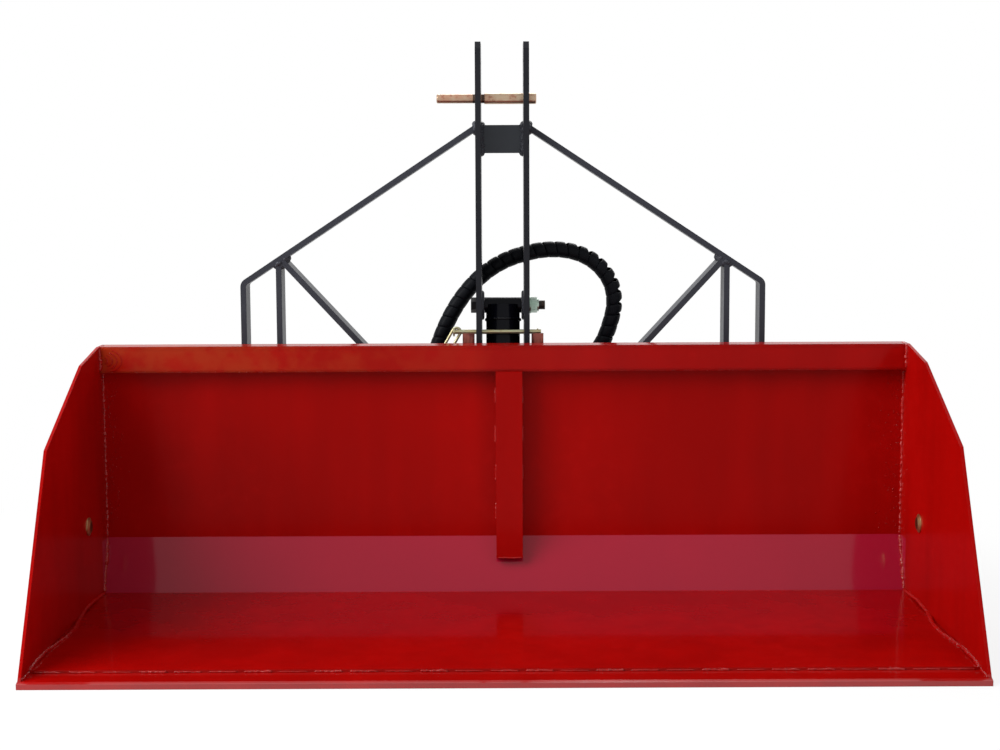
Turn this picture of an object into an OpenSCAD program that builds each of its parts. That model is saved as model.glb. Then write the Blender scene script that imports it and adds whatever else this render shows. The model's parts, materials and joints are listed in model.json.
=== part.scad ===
// Tipping transport box for a tractor's three-point linkage.
// X runs to the right, Y away from the cutting edge towards the tractor, Z up, in millimetres.
// The origin is on the ground, under the middle of the machine without its hoses.
// Inside this file a "depth" is measured backwards from the cutting edge.

/* [Box] */
// Width over the two side panels
box_w = 1400; // [1100:10:1800]
// Height of the box to the top of its rear tube
box_h = 441; // [360:1:480]
// Depth from the cutting edge to the inside of the back wall
wall_depth = 575; // [500:1:660]
// Distance that the sloping strip between floor and back wall covers, front to back
facet_run = 42; // [30:1:60]
// Height of the bend at the foot of the back wall
facet_h = 104; // [85:1:130]
// Thickness of the bent floor and back sheet
sheet_t = 4; // [3:0.5:5]
// Thickness of a side panel
side_t = 5; // [4:0.5:8]
// Side of the square tube along the top of the back wall
tube_side = 45; // [36:1:50]
// Wall of the square top tube
tube_wall = 3; // [2:0.5:5]
// Thickness of the cutting blade
blade_t = 10; // [6:1:14]
// Width of the cutting blade, front to back
blade_depth = 110; // [90:2:140]
// Width of the blade that shows in front of the floor sheet
blade_show = 52; // [40:1:70]

/* [Centre stiffener] */
// Width of the folded channel on the back wall
stiffener_w = 46; // [30:1:60]
// Distance that it stands in front of the back wall
stiffener_proud = 30; // [24:1:36]
// Distance of its centre line to the right of the middle
stiffener_shift = 10; // [0:1:20]

/* [Frame] */
// Thickness of the flat bars of the frame
bar_t = 10; // [8:0.5:12]
// Width of an upright, front to back
upright_w = 100; // [92:1:115]
// Height of the top of the uprights
upright_top = 962; // [860:2:1060]
// Distance from the inside of the back wall to the front edge of the uprights
frame_gap = 40; // [40:0.5:60]
// Distance from the top of the uprights down to the top-link pin
top_pin_drop = 96; // [85:1:110]
// Distance from the top of the uprights down to the spare top-link hole
spare_top_drop = 32; // [28:1:45]
// Distance from the top of the uprights down to where a diagonal bar meets them
diagonal_drop = 147; // [140:1:165]
// Slope of the diagonal bars in degrees
diagonal_slope = 33.4; // [31:0.1:35]
// Distance of the outer face of the outer link bars from the middle
link_bar_x = 463; // [450:1:480]
// Distance between the middles of the outer and inner link bars
link_bar_pitch = 63; // [56:1:70]
// Width of the link bars and diagonals, front to back
bar_w = 50; // [40:1:54]
// Height of a brace's foot above the cross beam
brace_foot = 34.4; // [20:0.2:60]
// Side of the square cross beam behind the box
beam_side = 60; // [56:1:64]
// Wall of the square cross beam
beam_wall = 4; // [3:0.5:6]
// Height of the middle of the cross beam and of the pivots
pivot_z = 150; // [145:1:155]
// Depth of the pivots that the box tips on
pivot_depth = 438; // [432:1:440]
// Height of the lower-link pins above the middle of the cross beam
link_pin_up = 140; // [110:2:150]
// Distance from a lower-link pin up to the spare hole
link_hole_pitch = 80; // [60:2:90]

/* [Hydraulic cylinder] */
// Height of the bolt that the cylinder hangs on
hang_z = 502; // [440:1:560]
// Level gap between the locking rod and the leaning barrel behind it
lock_rod_gap = 2.918; // [2:0.001:8]
// Distance from the back wall back to the pin at the foot of the cylinder's rod
foot_back = 25; // [22:0.5:28]
// Height of that pin above the floor of the box
foot_up = 22; // [20:0.5:26]
// Outer radius of the cylinder's barrel
barrel_r = 30; // [26:0.5:35]
// Wall of the cylinder's barrel
barrel_wall = 4; // [3.5:0.5:5]
// Gap beside the barrel to the discs inside the uprights
barrel_side_gap = 3; // [2:0.5:8]
// Radius of the piston rod
piston_rod_r = 15; // [12:0.5:17]
// Radius of the pin at the rod's foot
foot_pin_r = 10; // [8:0.5:11]

/* [Pins and bolts] */
// Radius of the pivot and cylinder bolts
bolt_r = 8; // [7:0.5:9]
// Radius of the thick end of the top-link pin
top_pin_r = 9.5; // [9:0.5:12.5]
// How much less the radius of its thin end is
top_pin_thinning = 1.5; // [1:0.5:3]
// Radius of the lower-link pins
link_pin_r = 11; // [10:0.5:14]
// Radius of the locking rod
lock_rod_r = 4; // [3:0.5:4]
// Distance of the locking rod behind the front edge of the uprights
lock_rod_in = 16; // [14:0.5:20]
// Height of the locking rod above the box
lock_rod_up = 17; // [14:1:22]

/* [Hoses] */
// Radius of one hydraulic hose
hose_r = 5.4; // [4.5:0.1:6.5]
// Wall of the spiral guard round both hoses
guard_wall = 1.8; // [1.2:0.1:2.5]
// Length of one turn of the spiral guard
guard_pitch = 25; // [20:1:40]

/* [Hidden] */

$fn = 48;

// Colours
box_red = [0.62, 0.03, 0.02];
frame_steel = [0.17, 0.18, 0.20];
black_paint = [0.03, 0.03, 0.04];
black_rubber = [0.02, 0.02, 0.025];
yellow_zinc = [0.72, 0.62, 0.30];
copper_zinc = [0.62, 0.45, 0.30];
pale_zinc = [0.66, 0.74, 0.68];
bright_steel = [0.75, 0.76, 0.78];

// Running clearances and cuts
run_gap = 0.05;
bolt_gap = 0.1;
seat_gap = 0.3;
cut = 1;

// Side panel outline: how far its corners lie back from the cutting edge, ahead of the wall or down
side_front = 8;
side_corner_depth = 192;
side_corner_drop = 124;
side_shoulder_ahead = 148;
side_shoulder_drop = 19;
side_top_run = 45;
side_lap = 4;
blade_bevel_run = 6;
blade_bevel_drop = 2;

// Runners under the floor
runner_w = 50;
runner_inset = 100;
runner_chamfer = 8;

// Pivots of the box
pivot_plate_r = 40;
pivot_plate_t = 6;
cup_rim = 7.5;
cup_head_r = bolt_r + cup_rim;
cup_crown = 1;
cup_head_top_r = bolt_r + cup_crown;
cup_head_h = 5;
cup_rim_share = 0.7;
washer_t = 3;
nut_h = 14;
bolt_end = 4;
nylon_h = 3;
nylon_wall = 3.4;
nylon_r = bolt_r + nylon_wall;
nut_wall = 5.85;
nut_r = bolt_r + nut_wall;
washer_wall = 7;
washer_r = bolt_r + washer_wall;
hex_head_h = 10;
bolt_tail = 11;
boss_wall = 15;
boss_r = bolt_r + boss_wall;
boss_t = 4;

// Derived places of the box
half_w = box_w / 2;
inner_x = half_w - side_t;
floor_depth = wall_depth - facet_run;
floor_top = blade_t + sheet_t;
tube_z = box_h - tube_side;
tube_proud = 21.7;
tube_front = wall_depth - tube_proud;
tube_back = tube_front + tube_side;
stiffener_front = wall_depth - stiffener_proud;
stiffener_foot_share = 0.62;

// Derived places of the frame
upright_x = barrel_r + barrel_side_gap + boss_t;
upright_out = upright_x + bar_t;
upright_front = wall_depth + frame_gap;
upright_back = upright_front + upright_w;
upright_mid = upright_front + upright_w / 2;
upright_corner = 12;
top_pin_z = upright_top - top_pin_drop;
spare_top_z = upright_top - spare_top_drop;
diagonal_z = upright_top - diagonal_drop;
link_pin_z = pivot_z + link_pin_up;
spare_link_z = link_pin_z + link_hole_pitch;
lock_rod_depth = upright_front + lock_rod_in;
lock_rod_z = box_h + lock_rod_up;
foot_depth = wall_depth + foot_back;
foot_z = floor_top + foot_up;
// How far down the cylinder the locking rod passes it, as a share of its height
rod_level_share = (hang_z - lock_rod_z) / (hang_z - foot_z);
hang_depth = (lock_rod_depth + lock_rod_r + lock_rod_gap + barrel_r - foot_depth * rod_level_share)
    / (1 - rod_level_share);
barrel_bore_r = barrel_r - barrel_wall;
spare_hole_r = top_pin_r + bolt_gap;
link_hole_r = link_pin_r + bolt_gap;
bar_front = upright_mid - bar_w / 2;
bar_back = bar_front + bar_w;
beam_front = bar_front;
beam_back = beam_front + beam_side;
beam_low = pivot_z - beam_side / 2;
beam_top = pivot_z + beam_side / 2;
arm_x = half_w + pivot_plate_t + seat_gap;
cross_plate_h = 49;
cross_plate_drop = 95;
cross_plate_z = top_pin_z - cross_plate_drop;
bend_r = 16;
bend_cx = link_bar_x - bend_r;
bend_mid_r = bend_r - bar_t / 2;
bend_cz = diagonal_z - bend_mid_r * cos(diagonal_slope)
    - (bend_cx + bend_mid_r * sin(diagonal_slope) - upright_out) * tan(diagonal_slope);
bend_leg = 25;
bend_steps = 6;
bar_split_z = bend_cz - bend_leg;
inner_bar_x = link_bar_x - link_bar_pitch - bar_t;
brace_lift = 2;

// Height of the diagonal's lower face at a distance x from the middle
function diagonal_low(x) =
    diagonal_z - (x - upright_out) * tan(diagonal_slope) - bar_t / 2 / cos(diagonal_slope);

// Cylinder: its axis leans by this angle, and its length is measured from the hanging bolt
reach_y = hang_depth - foot_depth;
reach_z = hang_z - foot_z;
cylinder_len = norm([reach_y, reach_z]);
cylinder_lean = atan2(reach_y, reach_z);
cross_tube_wall = 6;
cross_tube_r = bolt_r + cross_tube_wall;
cap_low = 26;
cap_spigot = 8;
eye_wall = 12;
eye_r = foot_pin_r + eye_wall;
eye_half_w = 14.5;
eye_neck_step = 1;
eye_neck_r = piston_rod_r - eye_neck_step;
eye_neck_len = 4;
eye_neck = eye_r + eye_neck_len;
closed_gap = 22;
gland_flange = 16;
gland_spigot = 14;
wiper_t = 6;
wiper_wall = 5;
wiper_r = piston_rod_r + wiper_wall;
piston_spare = 3;
piston_len = 28;
piston_rest = 33;
// The piston's travel is half of what is left of the length between bolt and pin
stroke = (cylinder_len - eye_r - closed_gap - gland_flange - gland_spigot - piston_rest - piston_len
    - piston_spare - cap_spigot - cap_low) / 2;
gland_end = cylinder_len - stroke - eye_r - closed_gap;
barrel_end = gland_end - gland_flange;
piston_top = cap_low + cap_spigot + stroke + piston_spare;
rod_tail_step = 5;
rod_tail_r = piston_rod_r - rod_tail_step;
seal_depth = 4;
seal_w = 8;
lug_t = 10;
lug_gap = 1;
lug_x = eye_half_w + lug_gap;
lug_wall = 13;
clip_t = 2;
clip_wall = 4;
clip_r = foot_pin_r + clip_wall;
clip_groove = 1;
foot_pin_end = 3.5;
foot_pin_half = lug_x + lug_t + lug_gap + clip_t + foot_pin_end;

// Slot in the lugs: the pin drifts this far along and across this direction as the box tips
slot_dir = 144;
slot_back = 0.6;
slot_run = 13.6;
slot_across = 0.75;
slot_spare = 1.5;
slot_r = foot_pin_r + slot_spare;
slot_edge_share = 0.985;
lug_edge_share = 0.9;
lug_end_share = 0.3;
lug_height_share = 0.95;

// Stop lugs behind the top tube
stop_lug_in = upright_out + 3;
stop_lug_w = 21;
stop_lug_t = 8;
stop_lug_foot = 10;
stop_lug_top = lock_rod_z - lock_rod_r / 2;
stop_lug_drop = 20;
stop_lug_z = box_h - stop_lug_drop;

// Pins
top_pin_thin_r = top_pin_r - top_pin_thinning;
top_pin_tail = 68;
top_pin_step = 6;
top_pin_end = 13;
pin_cross_r = 2.5;
pin_cross_in = 8;
pin_chamfer = 1.5;
lock_left = 38;
lock_right = 20;
lock_head_r = 8;
lock_head_t = 3;
lock_hole_gap = 1.6;
lock_hole_r = lock_rod_r + lock_hole_gap;
lock_ear_r = 1.2;
lock_ear_in = 6;
ring_wire_r = 2.5;
ring_half_w = 7;
ring_len = 40;
ring_tilt = 60;
link_pin_tail = 12;
link_head_wall = 6;
link_head_r = link_pin_r + link_head_wall;
link_head_t = 6;
link_pin_in = inner_bar_x - link_pin_tail;

// Hose route, chosen by hand for one place of the hanging bolt: distance to the right, and height
hose_gap = 0.6;
hose_side = hose_r + hose_gap;
guard_room = 1.4;
guard_r = hose_side + hose_r + guard_room + guard_wall;
hose_start = 50;
hose_back = 15;
hose_mid_depth = upright_back + hose_back;
route_hang_z = 502;
route_low = 15;
route_stretch = (hang_z - route_low) / (route_hang_z - route_low);
bundle_points = [
    [100, 376], [130, 383], [158, 401], [180, 428], [194, 462], [202, 499], [197, 535], [178, 565],
    [150, 586], [115, 597], [75, 598], [35, 590], [0, 577], [-32, 557], [-60, 530], [-84, 498],
    [-104, 461], [-120, 420], [-133, 375], [-144, 320], [-153, 262], [-162, 204], [-173, 148],
    [-190, 98], [-217, 55], [-256, 28], [-300, 17]
];
// Leads from the ports and tails on the ground: right, behind the bundle's middle, height
lead_a_points = [[hose_start, -hose_side, 390], [75, -hose_side, 387]];
lead_b_points = [[hose_start, hose_side, 354], [75, hose_side, 364]];
tail_points = [[-332, 8, 16], [-366, 14, 15], [-400, 15, 15]];
// A point of the route, moved with the frame and stretched with the bolt's height
function laid(x, behind, z) =
    [x, hose_mid_depth + behind, route_low + (z - route_low) * route_stretch];
bundle = [for (p = bundle_points) laid(p[0], 0, p[1])];
lead_a = [for (p = lead_a_points) laid(p[0], p[1], p[2])];
lead_b = [for (p = lead_b_points) laid(p[0], p[1], p[2])];
port_a = lead_a[0];
port_b = lead_b[0];
function shifted(points, dy) = [for (p = points) p + [0, dy, 0]];
route_a = concat(lead_a, shifted(bundle, -hose_side), [for (p = tail_points) laid(p[0], -p[1], p[2])]);
route_b = concat(lead_b, shifted(bundle, hose_side), [for (p = tail_points) laid(p[0], p[1], p[2])]);
hose_rings = 39;
heading_share = 0.001;
hose_sides = 8;
guard_dip = 1.3;
turn_share = 0.9;
coupler_r = 14;
coupler_len = 70;
coupler_neck_share = 0.45;
coupler_nut_share = 0.3;
coupler_nose_share = 0.7;
coupler_bore_share = 0.6;
coupler_nose_r = 11.2;

// Port fittings
block_w = 22;
block_wall = 14;
block_out = barrel_r + block_wall;
pipe_r = 5;
pipe_gap = 2;
pipe_v = barrel_r + pipe_gap + pipe_r;
base_port_s = 44;
rod_port_back = 14;
rod_port_s = barrel_end - rod_port_back;
elbow_r = 7;
elbow_body_r = 8.5;
elbow_nut_r = 12;
elbow_nut_x = 10;
elbow_nut_len = 14;
ferrule_r = 9;

// Overall depth without the hoses, which places the origin
depth_all = port_b[1] + elbow_nut_r * cos(30);

module at_depth() {
    translate([0, -depth_all / 2, 0]) children();
}

// Turns a profile drawn in depth and height into a solid from x0 to x1
module along_x(x0, x1) {
    translate([x0, 0, 0]) rotate([90, 0, 90]) linear_extrude(x1 - x0) children();
}

// Turns a profile drawn in x and height into a solid from depth y0 to y1
module along_depth(y0, y1) {
    translate([0, y1, 0]) rotate([90, 0, 0]) linear_extrude(y1 - y0) children();
}

// Round bar or hole along X, at a depth and height
module round_x(x0, x1, r, y, z, sides = 48) {
    translate([x0, y, z]) rotate([0, 90, 0]) cylinder(h = x1 - x0, r = r, $fn = sides);
}

module ring_x(x0, x1, r_out, r_in, y, z) {
    difference() {
        round_x(x0, x1, r_out, y, z);
        round_x(x0 - cut, x1 + cut, r_in, y, z);
    }
}

// Both sides of the machine: side is 1 on the right and -1 on the left
module on_side(side) {
    if (side > 0) children();
    else mirror([1, 0, 0]) children();
}

// Corner of a polyline's offset, t to the right of its direction of travel
function unit(v) = v / norm(v);
function right_of(a, b) = let (d = unit(b - a)) [d[1], -d[0]];
function offset_corner(a, b, c, t) =
    let (n1 = right_of(a, b), n2 = right_of(b, c)) b + t * (n1 + n2) / (1 + n1 * n2);

// Box

sheet_path = [
    [blade_show, floor_top], [floor_depth, floor_top], [wall_depth, facet_h], [wall_depth, tube_z]
];
sheet_out_low = offset_corner(sheet_path[0], sheet_path[1], sheet_path[2], sheet_t);
sheet_out_high = offset_corner(sheet_path[1], sheet_path[2], sheet_path[3], sheet_t);

module box_sheet() {
    color(box_red) at_depth() along_x(-inner_x, inner_x) polygon([
        sheet_path[0], sheet_path[1], sheet_path[2], sheet_path[3],
        [wall_depth + sheet_t, tube_z], sheet_out_high, sheet_out_low, [blade_show, blade_t]
    ]);
}

module side_panel(side) {
    color(box_red) at_depth() on_side(side) difference() {
        along_x(inner_x, half_w) polygon([
            [side_front, blade_t], [side_corner_depth, box_h - side_corner_drop],
            [wall_depth - side_shoulder_ahead, box_h - side_shoulder_drop], [tube_back - side_top_run, box_h],
            [tube_back, box_h], [tube_back, tube_z], sheet_out_high + [side_lap, 0],
            [sheet_out_low[0] + side_lap, blade_t]
        ]);
        round_x(inner_x - cut, half_w + cut, bolt_r + run_gap, pivot_depth, pivot_z);
    }
}

module top_tube() {
    color(box_red) at_depth() along_x(-inner_x, inner_x) difference() {
        translate([tube_front, tube_z]) square(tube_side);
        translate([tube_front + tube_wall, tube_z + tube_wall]) square(tube_side - 2 * tube_wall);
    }
}

// Folded channel with a closed top, coped at its foot to the sloping facet
module centre_stiffener() {
    top = tube_z;
    foot = floor_top + (facet_h - floor_top) * stiffener_foot_share;
    foot_depth_at = floor_depth + facet_run * (foot - floor_top) / (facet_h - floor_top);
    x0 = stiffener_shift - stiffener_w / 2;
    color(box_red) at_depth() difference() {
        along_x(x0, x0 + stiffener_w) polygon([
            [stiffener_front, top], [stiffener_front, foot], [foot_depth_at, foot],
            [wall_depth, facet_h], [wall_depth, top]
        ]);
        along_x(x0 + sheet_t, x0 + stiffener_w - sheet_t) polygon([
            [stiffener_front + sheet_t, top - sheet_t], [stiffener_front + sheet_t, foot - cut],
            [foot_depth_at, foot - cut], [wall_depth + cut, facet_h], [wall_depth + cut, top - sheet_t]
        ]);
    }
}

module cutting_blade() {
    color(box_red) at_depth() along_x(-half_w, half_w) polygon([
        [0, 0], [blade_depth, 0], [blade_depth, blade_t], [blade_bevel_run, blade_t],
        [0, blade_t - blade_bevel_drop]
    ]);
}

module runner(x) {
    color(box_red) at_depth() along_x(x - runner_w / 2, x + runner_w / 2) polygon([
        [blade_depth, 0], [floor_depth - runner_chamfer, 0], [floor_depth, blade_t], [blade_depth, blade_t]
    ]);
}

module pivot_plate(side) {
    color(box_red) at_depth() on_side(side)
        ring_x(half_w, half_w + pivot_plate_t, pivot_plate_r, bolt_r + run_gap, pivot_depth, pivot_z);
}

// Angle behind the top tube whose post stands in front of the locking rod
module stop_lug(side) {
    post_back = lock_rod_depth - lock_rod_r - seat_gap;
    color(box_red) at_depth() on_side(side) along_x(stop_lug_in, stop_lug_in + stop_lug_w) polygon([
        [tube_back, stop_lug_z], [post_back, stop_lug_z], [post_back, stop_lug_top],
        [post_back - stop_lug_t, stop_lug_top], [post_back - stop_lug_t, stop_lug_z + stop_lug_foot],
        [tube_back, stop_lug_z + stop_lug_foot]
    ]);
}

// Plate behind the facet that carries the foot pin in a short slot
module cylinder_lug(side) {
    along = [cos(slot_dir), sin(slot_dir)];
    across = [-sin(slot_dir), cos(slot_dir)];
    foot = [foot_depth, foot_z];
    slot_a = foot - slot_back * along + slot_across * across;
    slot_b = foot + slot_run * along + slot_across * across;
    low = sheet_out_low;
    high = sheet_out_high;
    lug_r = slot_r + lug_wall;
    edge = lug_r * lug_edge_share * across;
    end = slot_a - lug_r * lug_end_share * along;
    wide = slot_r * slot_edge_share * across;
    color(box_red) at_depth() on_side(side) difference() {
        union() {
            along_x(lug_x, lug_x + lug_t)
                polygon([low, low + (high - low) * lug_height_share, slot_b - edge, end - edge, end + edge]);
            round_x(lug_x, lug_x + lug_t, lug_r, slot_a[0], slot_a[1]);
        }
        for (mid = [slot_a, slot_b]) round_x(lug_x - cut, lug_x + lug_t + cut, slot_r, mid[0], mid[1]);
        along_x(lug_x - cut, lug_x + lug_t + cut)
            polygon([slot_a + wide, slot_b + wide, slot_b - wide, slot_a - wide]);
    }
}

// Frame

module upright(side) {
    pin_hole = (side > 0 ? top_pin_r : top_pin_thin_r) + bolt_gap;
    color(frame_steel) at_depth() on_side(side) difference() {
        along_x(upright_x, upright_out) polygon([
            [upright_front, beam_low], [upright_back, beam_low], [upright_back, upright_top - upright_corner],
            [upright_back - upright_corner, upright_top], [upright_front + upright_corner, upright_top],
            [upright_front, upright_top - upright_corner]
        ]);
        round_x(upright_x - cut, upright_out + cut, pin_hole, upright_mid, top_pin_z);
        round_x(upright_x - cut, upright_out + cut, spare_hole_r, upright_mid, spare_top_z);
        round_x(upright_x - cut, upright_out + cut, bolt_r + bolt_gap, hang_depth, hang_z);
        round_x(upright_x - cut, upright_out + cut, lock_hole_r, lock_rod_depth, lock_rod_z);
    }
}

module cross_plate() {
    color(frame_steel) at_depth() translate([-upright_x, upright_mid - bar_t / 2, cross_plate_z])
        cube([2 * upright_x, bar_t, cross_plate_h]);
}

// Flat bar on edge that runs down from the upright and turns into the outer link bar
module diagonal_bar(side) {
    s = diagonal_slope;
    function bend(r, share) = [bend_cx, bend_cz] + r * [cos(share * (90 - s)), sin(share * (90 - s))];
    function to_upright(p) = p + (p[0] - upright_out) / cos(s) * [-cos(s), sin(s)];
    outer = [for (k = [bend_steps:-1:0]) bend(bend_r, k / bend_steps)];
    inner = [for (k = [0:bend_steps]) bend(bend_r - bar_t, k / bend_steps)];
    foot = [[link_bar_x, bar_split_z], [link_bar_x - bar_t, bar_split_z]];
    color(frame_steel) at_depth() on_side(side) along_depth(bar_front, bar_back) polygon(
        concat([to_upright(outer[0])], outer, foot, inner, [to_upright(inner[bend_steps])]));
}

module outer_link_bar(side) {
    x0 = link_bar_x - bar_t;
    color(frame_steel) at_depth() on_side(side) difference() {
        translate([x0, bar_front, beam_top]) cube([bar_t, bar_w, bar_split_z - beam_top]);
        for (z = [link_pin_z, spare_link_z])
            round_x(x0 - cut, link_bar_x + cut, link_hole_r, upright_mid, z);
    }
}

module inner_link_bar(side) {
    x0 = inner_bar_x;
    x1 = inner_bar_x + bar_t;
    color(frame_steel) at_depth() on_side(side) difference() {
        along_depth(bar_front, bar_back) polygon([
            [x0, beam_top], [x1, beam_top], [x1, diagonal_low(x1)], [x0, diagonal_low(x0)]
        ]);
        for (z = [link_pin_z, spare_link_z])
            round_x(x0 - cut, x1 + cut, link_hole_r, upright_mid, z);
    }
}

// Flat bar on edge from the top of the inner link bar down to the foot of the upright
module brace(side) {
    x1 = inner_bar_x;
    mid = diagonal_low(x1) + brace_lift;
    drop = mid - beam_top - brace_foot;
    slope = atan2(drop, x1 - upright_out);
    half = bar_t / 2 / cos(slope);
    nip = (mid + half - diagonal_low(x1)) / (tan(slope) + tan(diagonal_slope));
    color(frame_steel) at_depth() on_side(side) along_depth(bar_front, bar_back) polygon([
        [x1, mid - half], [x1, diagonal_low(x1)], [x1 - nip, diagonal_low(x1 - nip)],
        [upright_out, mid + half - drop], [upright_out, mid - half - drop]
    ]);
}

module beam(side) {
    color(frame_steel) at_depth() on_side(side) along_x(upright_out, arm_x) difference() {
        translate([beam_front, beam_low]) square(beam_side);
        translate([beam_front + beam_wall, beam_low + beam_wall]) square(beam_side - 2 * beam_wall);
    }
}

module bridge_plate() {
    y0 = upright_back - 2 * bar_t;
    color(frame_steel) at_depth() translate([-upright_x, y0, beam_low])
        cube([2 * upright_x, bar_t, beam_side]);
}

module side_arm(side) {
    color(frame_steel) at_depth() on_side(side) along_x(arm_x, arm_x + bar_t) difference() {
        union() {
            translate([pivot_depth, beam_low]) square([beam_back - pivot_depth, beam_side]);
            translate([pivot_depth, pivot_z]) circle(beam_side / 2);
        }
        translate([pivot_depth, pivot_z]) circle(bolt_r + bolt_gap);
    }
}

// Discs welded inside the uprights round the hanging bolt
module boss_discs() {
    color(frame_steel) at_depth() for (side = [-1, 1]) on_side(side)
        ring_x(upright_x - boss_t, upright_x, boss_r, bolt_r + bolt_gap, hang_depth, hang_z);
}

module pivot_bolts() {
    tail = arm_x + bar_t + washer_t + nut_h + bolt_end;
    head_x = inner_x - bolt_gap;
    color(yellow_zinc) at_depth() for (side = [-1, 1]) on_side(side) {
        round_x(head_x, tail, bolt_r, pivot_depth, pivot_z);
        translate([head_x - cup_head_h, pivot_depth, pivot_z]) rotate([0, 90, 0])
            rotate_extrude() polygon([
                [0, 0], [cup_head_top_r, 0], [cup_head_r, cup_head_h * cup_rim_share],
                [cup_head_r, cup_head_h], [0, cup_head_h]
            ]);
    }
}

module pivot_washers() {
    x = arm_x + bar_t;
    color(yellow_zinc) at_depth() for (side = [-1, 1]) on_side(side)
        ring_x(x, x + washer_t, washer_r, bolt_r + bolt_gap, pivot_depth, pivot_z);
}

// Hexagon nut with a nylon collar, starting at x and facing right
module lock_nut(x, h, y, z) {
    difference() {
        union() {
            round_x(x, x + h - nylon_h, nut_r, y, z, 6);
            round_x(x + h - nylon_h, x + h, nylon_r, y, z);
        }
        round_x(x - cut, x + h + cut, bolt_r + bolt_gap, y, z);
    }
}

module pivot_nuts() {
    color(yellow_zinc) at_depth() for (side = [-1, 1]) on_side(side)
        lock_nut(arm_x + bar_t + washer_t, nut_h, pivot_depth, pivot_z);
}

module cylinder_bolt() {
    tail = upright_out + washer_t + nut_h + bolt_tail;
    color(black_paint) at_depth() {
        round_x(-upright_out, tail, bolt_r, hang_depth, hang_z);
        round_x(-upright_out - hex_head_h, -upright_out, nut_r, hang_depth, hang_z, 6);
    }
}

module cylinder_washer() {
    color(pale_zinc) at_depth() ring_x(upright_out, upright_out + washer_t, washer_r,
        bolt_r + bolt_gap, hang_depth, hang_z);
}

module cylinder_nut() {
    color(pale_zinc) at_depth() lock_nut(upright_out + washer_t, nut_h, hang_depth, hang_z);
}

// Cylinder, drawn upright with its hanging bolt at the origin and its foot below

module on_cylinder() {
    at_depth() translate([0, hang_depth, hang_z]) rotate([-cylinder_lean, 0, 0]) children();
}

// Round solid on the cylinder's axis between two distances below the hanging bolt
module below(s0, s1, r) {
    translate([0, 0, -s1]) cylinder(h = s1 - s0, r = r);
}

module cross_tube() {
    half = upright_x - boss_t - seat_gap;
    color(black_paint) on_cylinder() ring_x(-half, half, cross_tube_r, bolt_r + run_gap, 0, 0);
}

module base_cap() {
    color(black_paint) on_cylinder() difference() {
        union() {
            below(0, cap_low, barrel_r);
            below(cap_low, cap_low + cap_spigot, barrel_bore_r - bolt_gap);
        }
        round_x(-barrel_r - cut, barrel_r + cut, cross_tube_r + bolt_gap, 0, 0);
    }
}

module barrel() {
    color(black_paint) on_cylinder() difference() {
        below(cap_low, barrel_end, barrel_r);
        below(cap_low - cut, barrel_end + cut, barrel_bore_r);
    }
}

module gland() {
    color(black_paint) on_cylinder() difference() {
        union() {
            below(barrel_end, gland_end, barrel_r);
            below(barrel_end - gland_spigot, barrel_end, barrel_bore_r - bolt_gap);
        }
        below(barrel_end - gland_spigot - cut, gland_end + cut, piston_rod_r + run_gap);
        below(gland_end - wiper_t, gland_end + cut, wiper_r + bolt_gap);
    }
}

module wiper_seal() {
    color(black_rubber) on_cylinder() difference() {
        below(gland_end - wiper_t, gland_end, wiper_r);
        below(gland_end - wiper_t - cut, gland_end + cut, piston_rod_r + run_gap);
    }
}

// Distance below the bolt and behind the axis of a point given by depth and height
function s_of(y, z) = -((y - hang_depth) * sin(cylinder_lean) + (z - hang_z) * cos(cylinder_lean));
function v_of(y, z) = (y - hang_depth) * cos(cylinder_lean) - (z - hang_z) * sin(cylinder_lean);

// Oil pipe along the back of the barrel with a welded block at each end
module oil_pipe(s0, s1) {
    difference() {
        for (s = [s0, s1])
            translate([-block_w / 2, 0, -s - block_w / 2]) cube([block_w, block_out, block_w]);
        cylinder(h = 3 * cylinder_len, r = barrel_r + bolt_gap, center = true);
    }
    translate([0, pipe_v, -s1]) cylinder(h = s1 - s0, r = pipe_r);
}

module base_pipe() {
    color(black_paint) on_cylinder() oil_pipe(base_port_s, s_of(port_a[1], port_a[2]));
}

module rod_pipe() {
    color(black_paint) on_cylinder() oil_pipe(s_of(port_b[1], port_b[2]), rod_port_s);
}

// Elbows that turn the two ports to the right, each with its nut and the hose's ferrule
module port_elbows() {
    color(pale_zinc) for (port = [port_a, port_b]) {
        s = s_of(port[1], port[2]);
        v = v_of(port[1], port[2]);
        on_cylinder() translate([0, block_out, -s]) rotate([-90, 0, 0])
            cylinder(h = v - block_out, r = elbow_r);
        at_depth() {
            round_x(-elbow_body_r, elbow_nut_x, elbow_body_r, port[1], port[2]);
            round_x(elbow_nut_x, elbow_nut_x + elbow_nut_len, elbow_nut_r, port[1], port[2], 6);
            round_x(elbow_nut_x + elbow_nut_len, hose_start, ferrule_r, port[1], port[2]);
        }
    }
}

module piston() {
    mid = piston_top + piston_len / 2;
    color(bright_steel) on_cylinder() difference() {
        below(piston_top, piston_top + piston_len, barrel_bore_r - run_gap);
        below(piston_top - cut, piston_top + piston_len + cut, rod_tail_r + bolt_gap);
        difference() {
            below(mid - seal_w / 2, mid + seal_w / 2, barrel_bore_r + cut);
            below(mid - seal_w, mid + seal_w, barrel_bore_r - seal_depth);
        }
    }
}

module piston_seal() {
    mid = piston_top + piston_len / 2;
    color(black_rubber) on_cylinder() difference() {
        below(mid - seal_w / 2 + bolt_gap, mid + seal_w / 2 - bolt_gap, barrel_bore_r - run_gap);
        below(mid - seal_w, mid + seal_w, barrel_bore_r - seal_depth + bolt_gap);
    }
}

module piston_rod() {
    color(bright_steel) on_cylinder() {
        below(piston_top, piston_top + piston_len, rod_tail_r);
        below(piston_top + piston_len, cylinder_len - eye_neck, piston_rod_r);
    }
}

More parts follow.
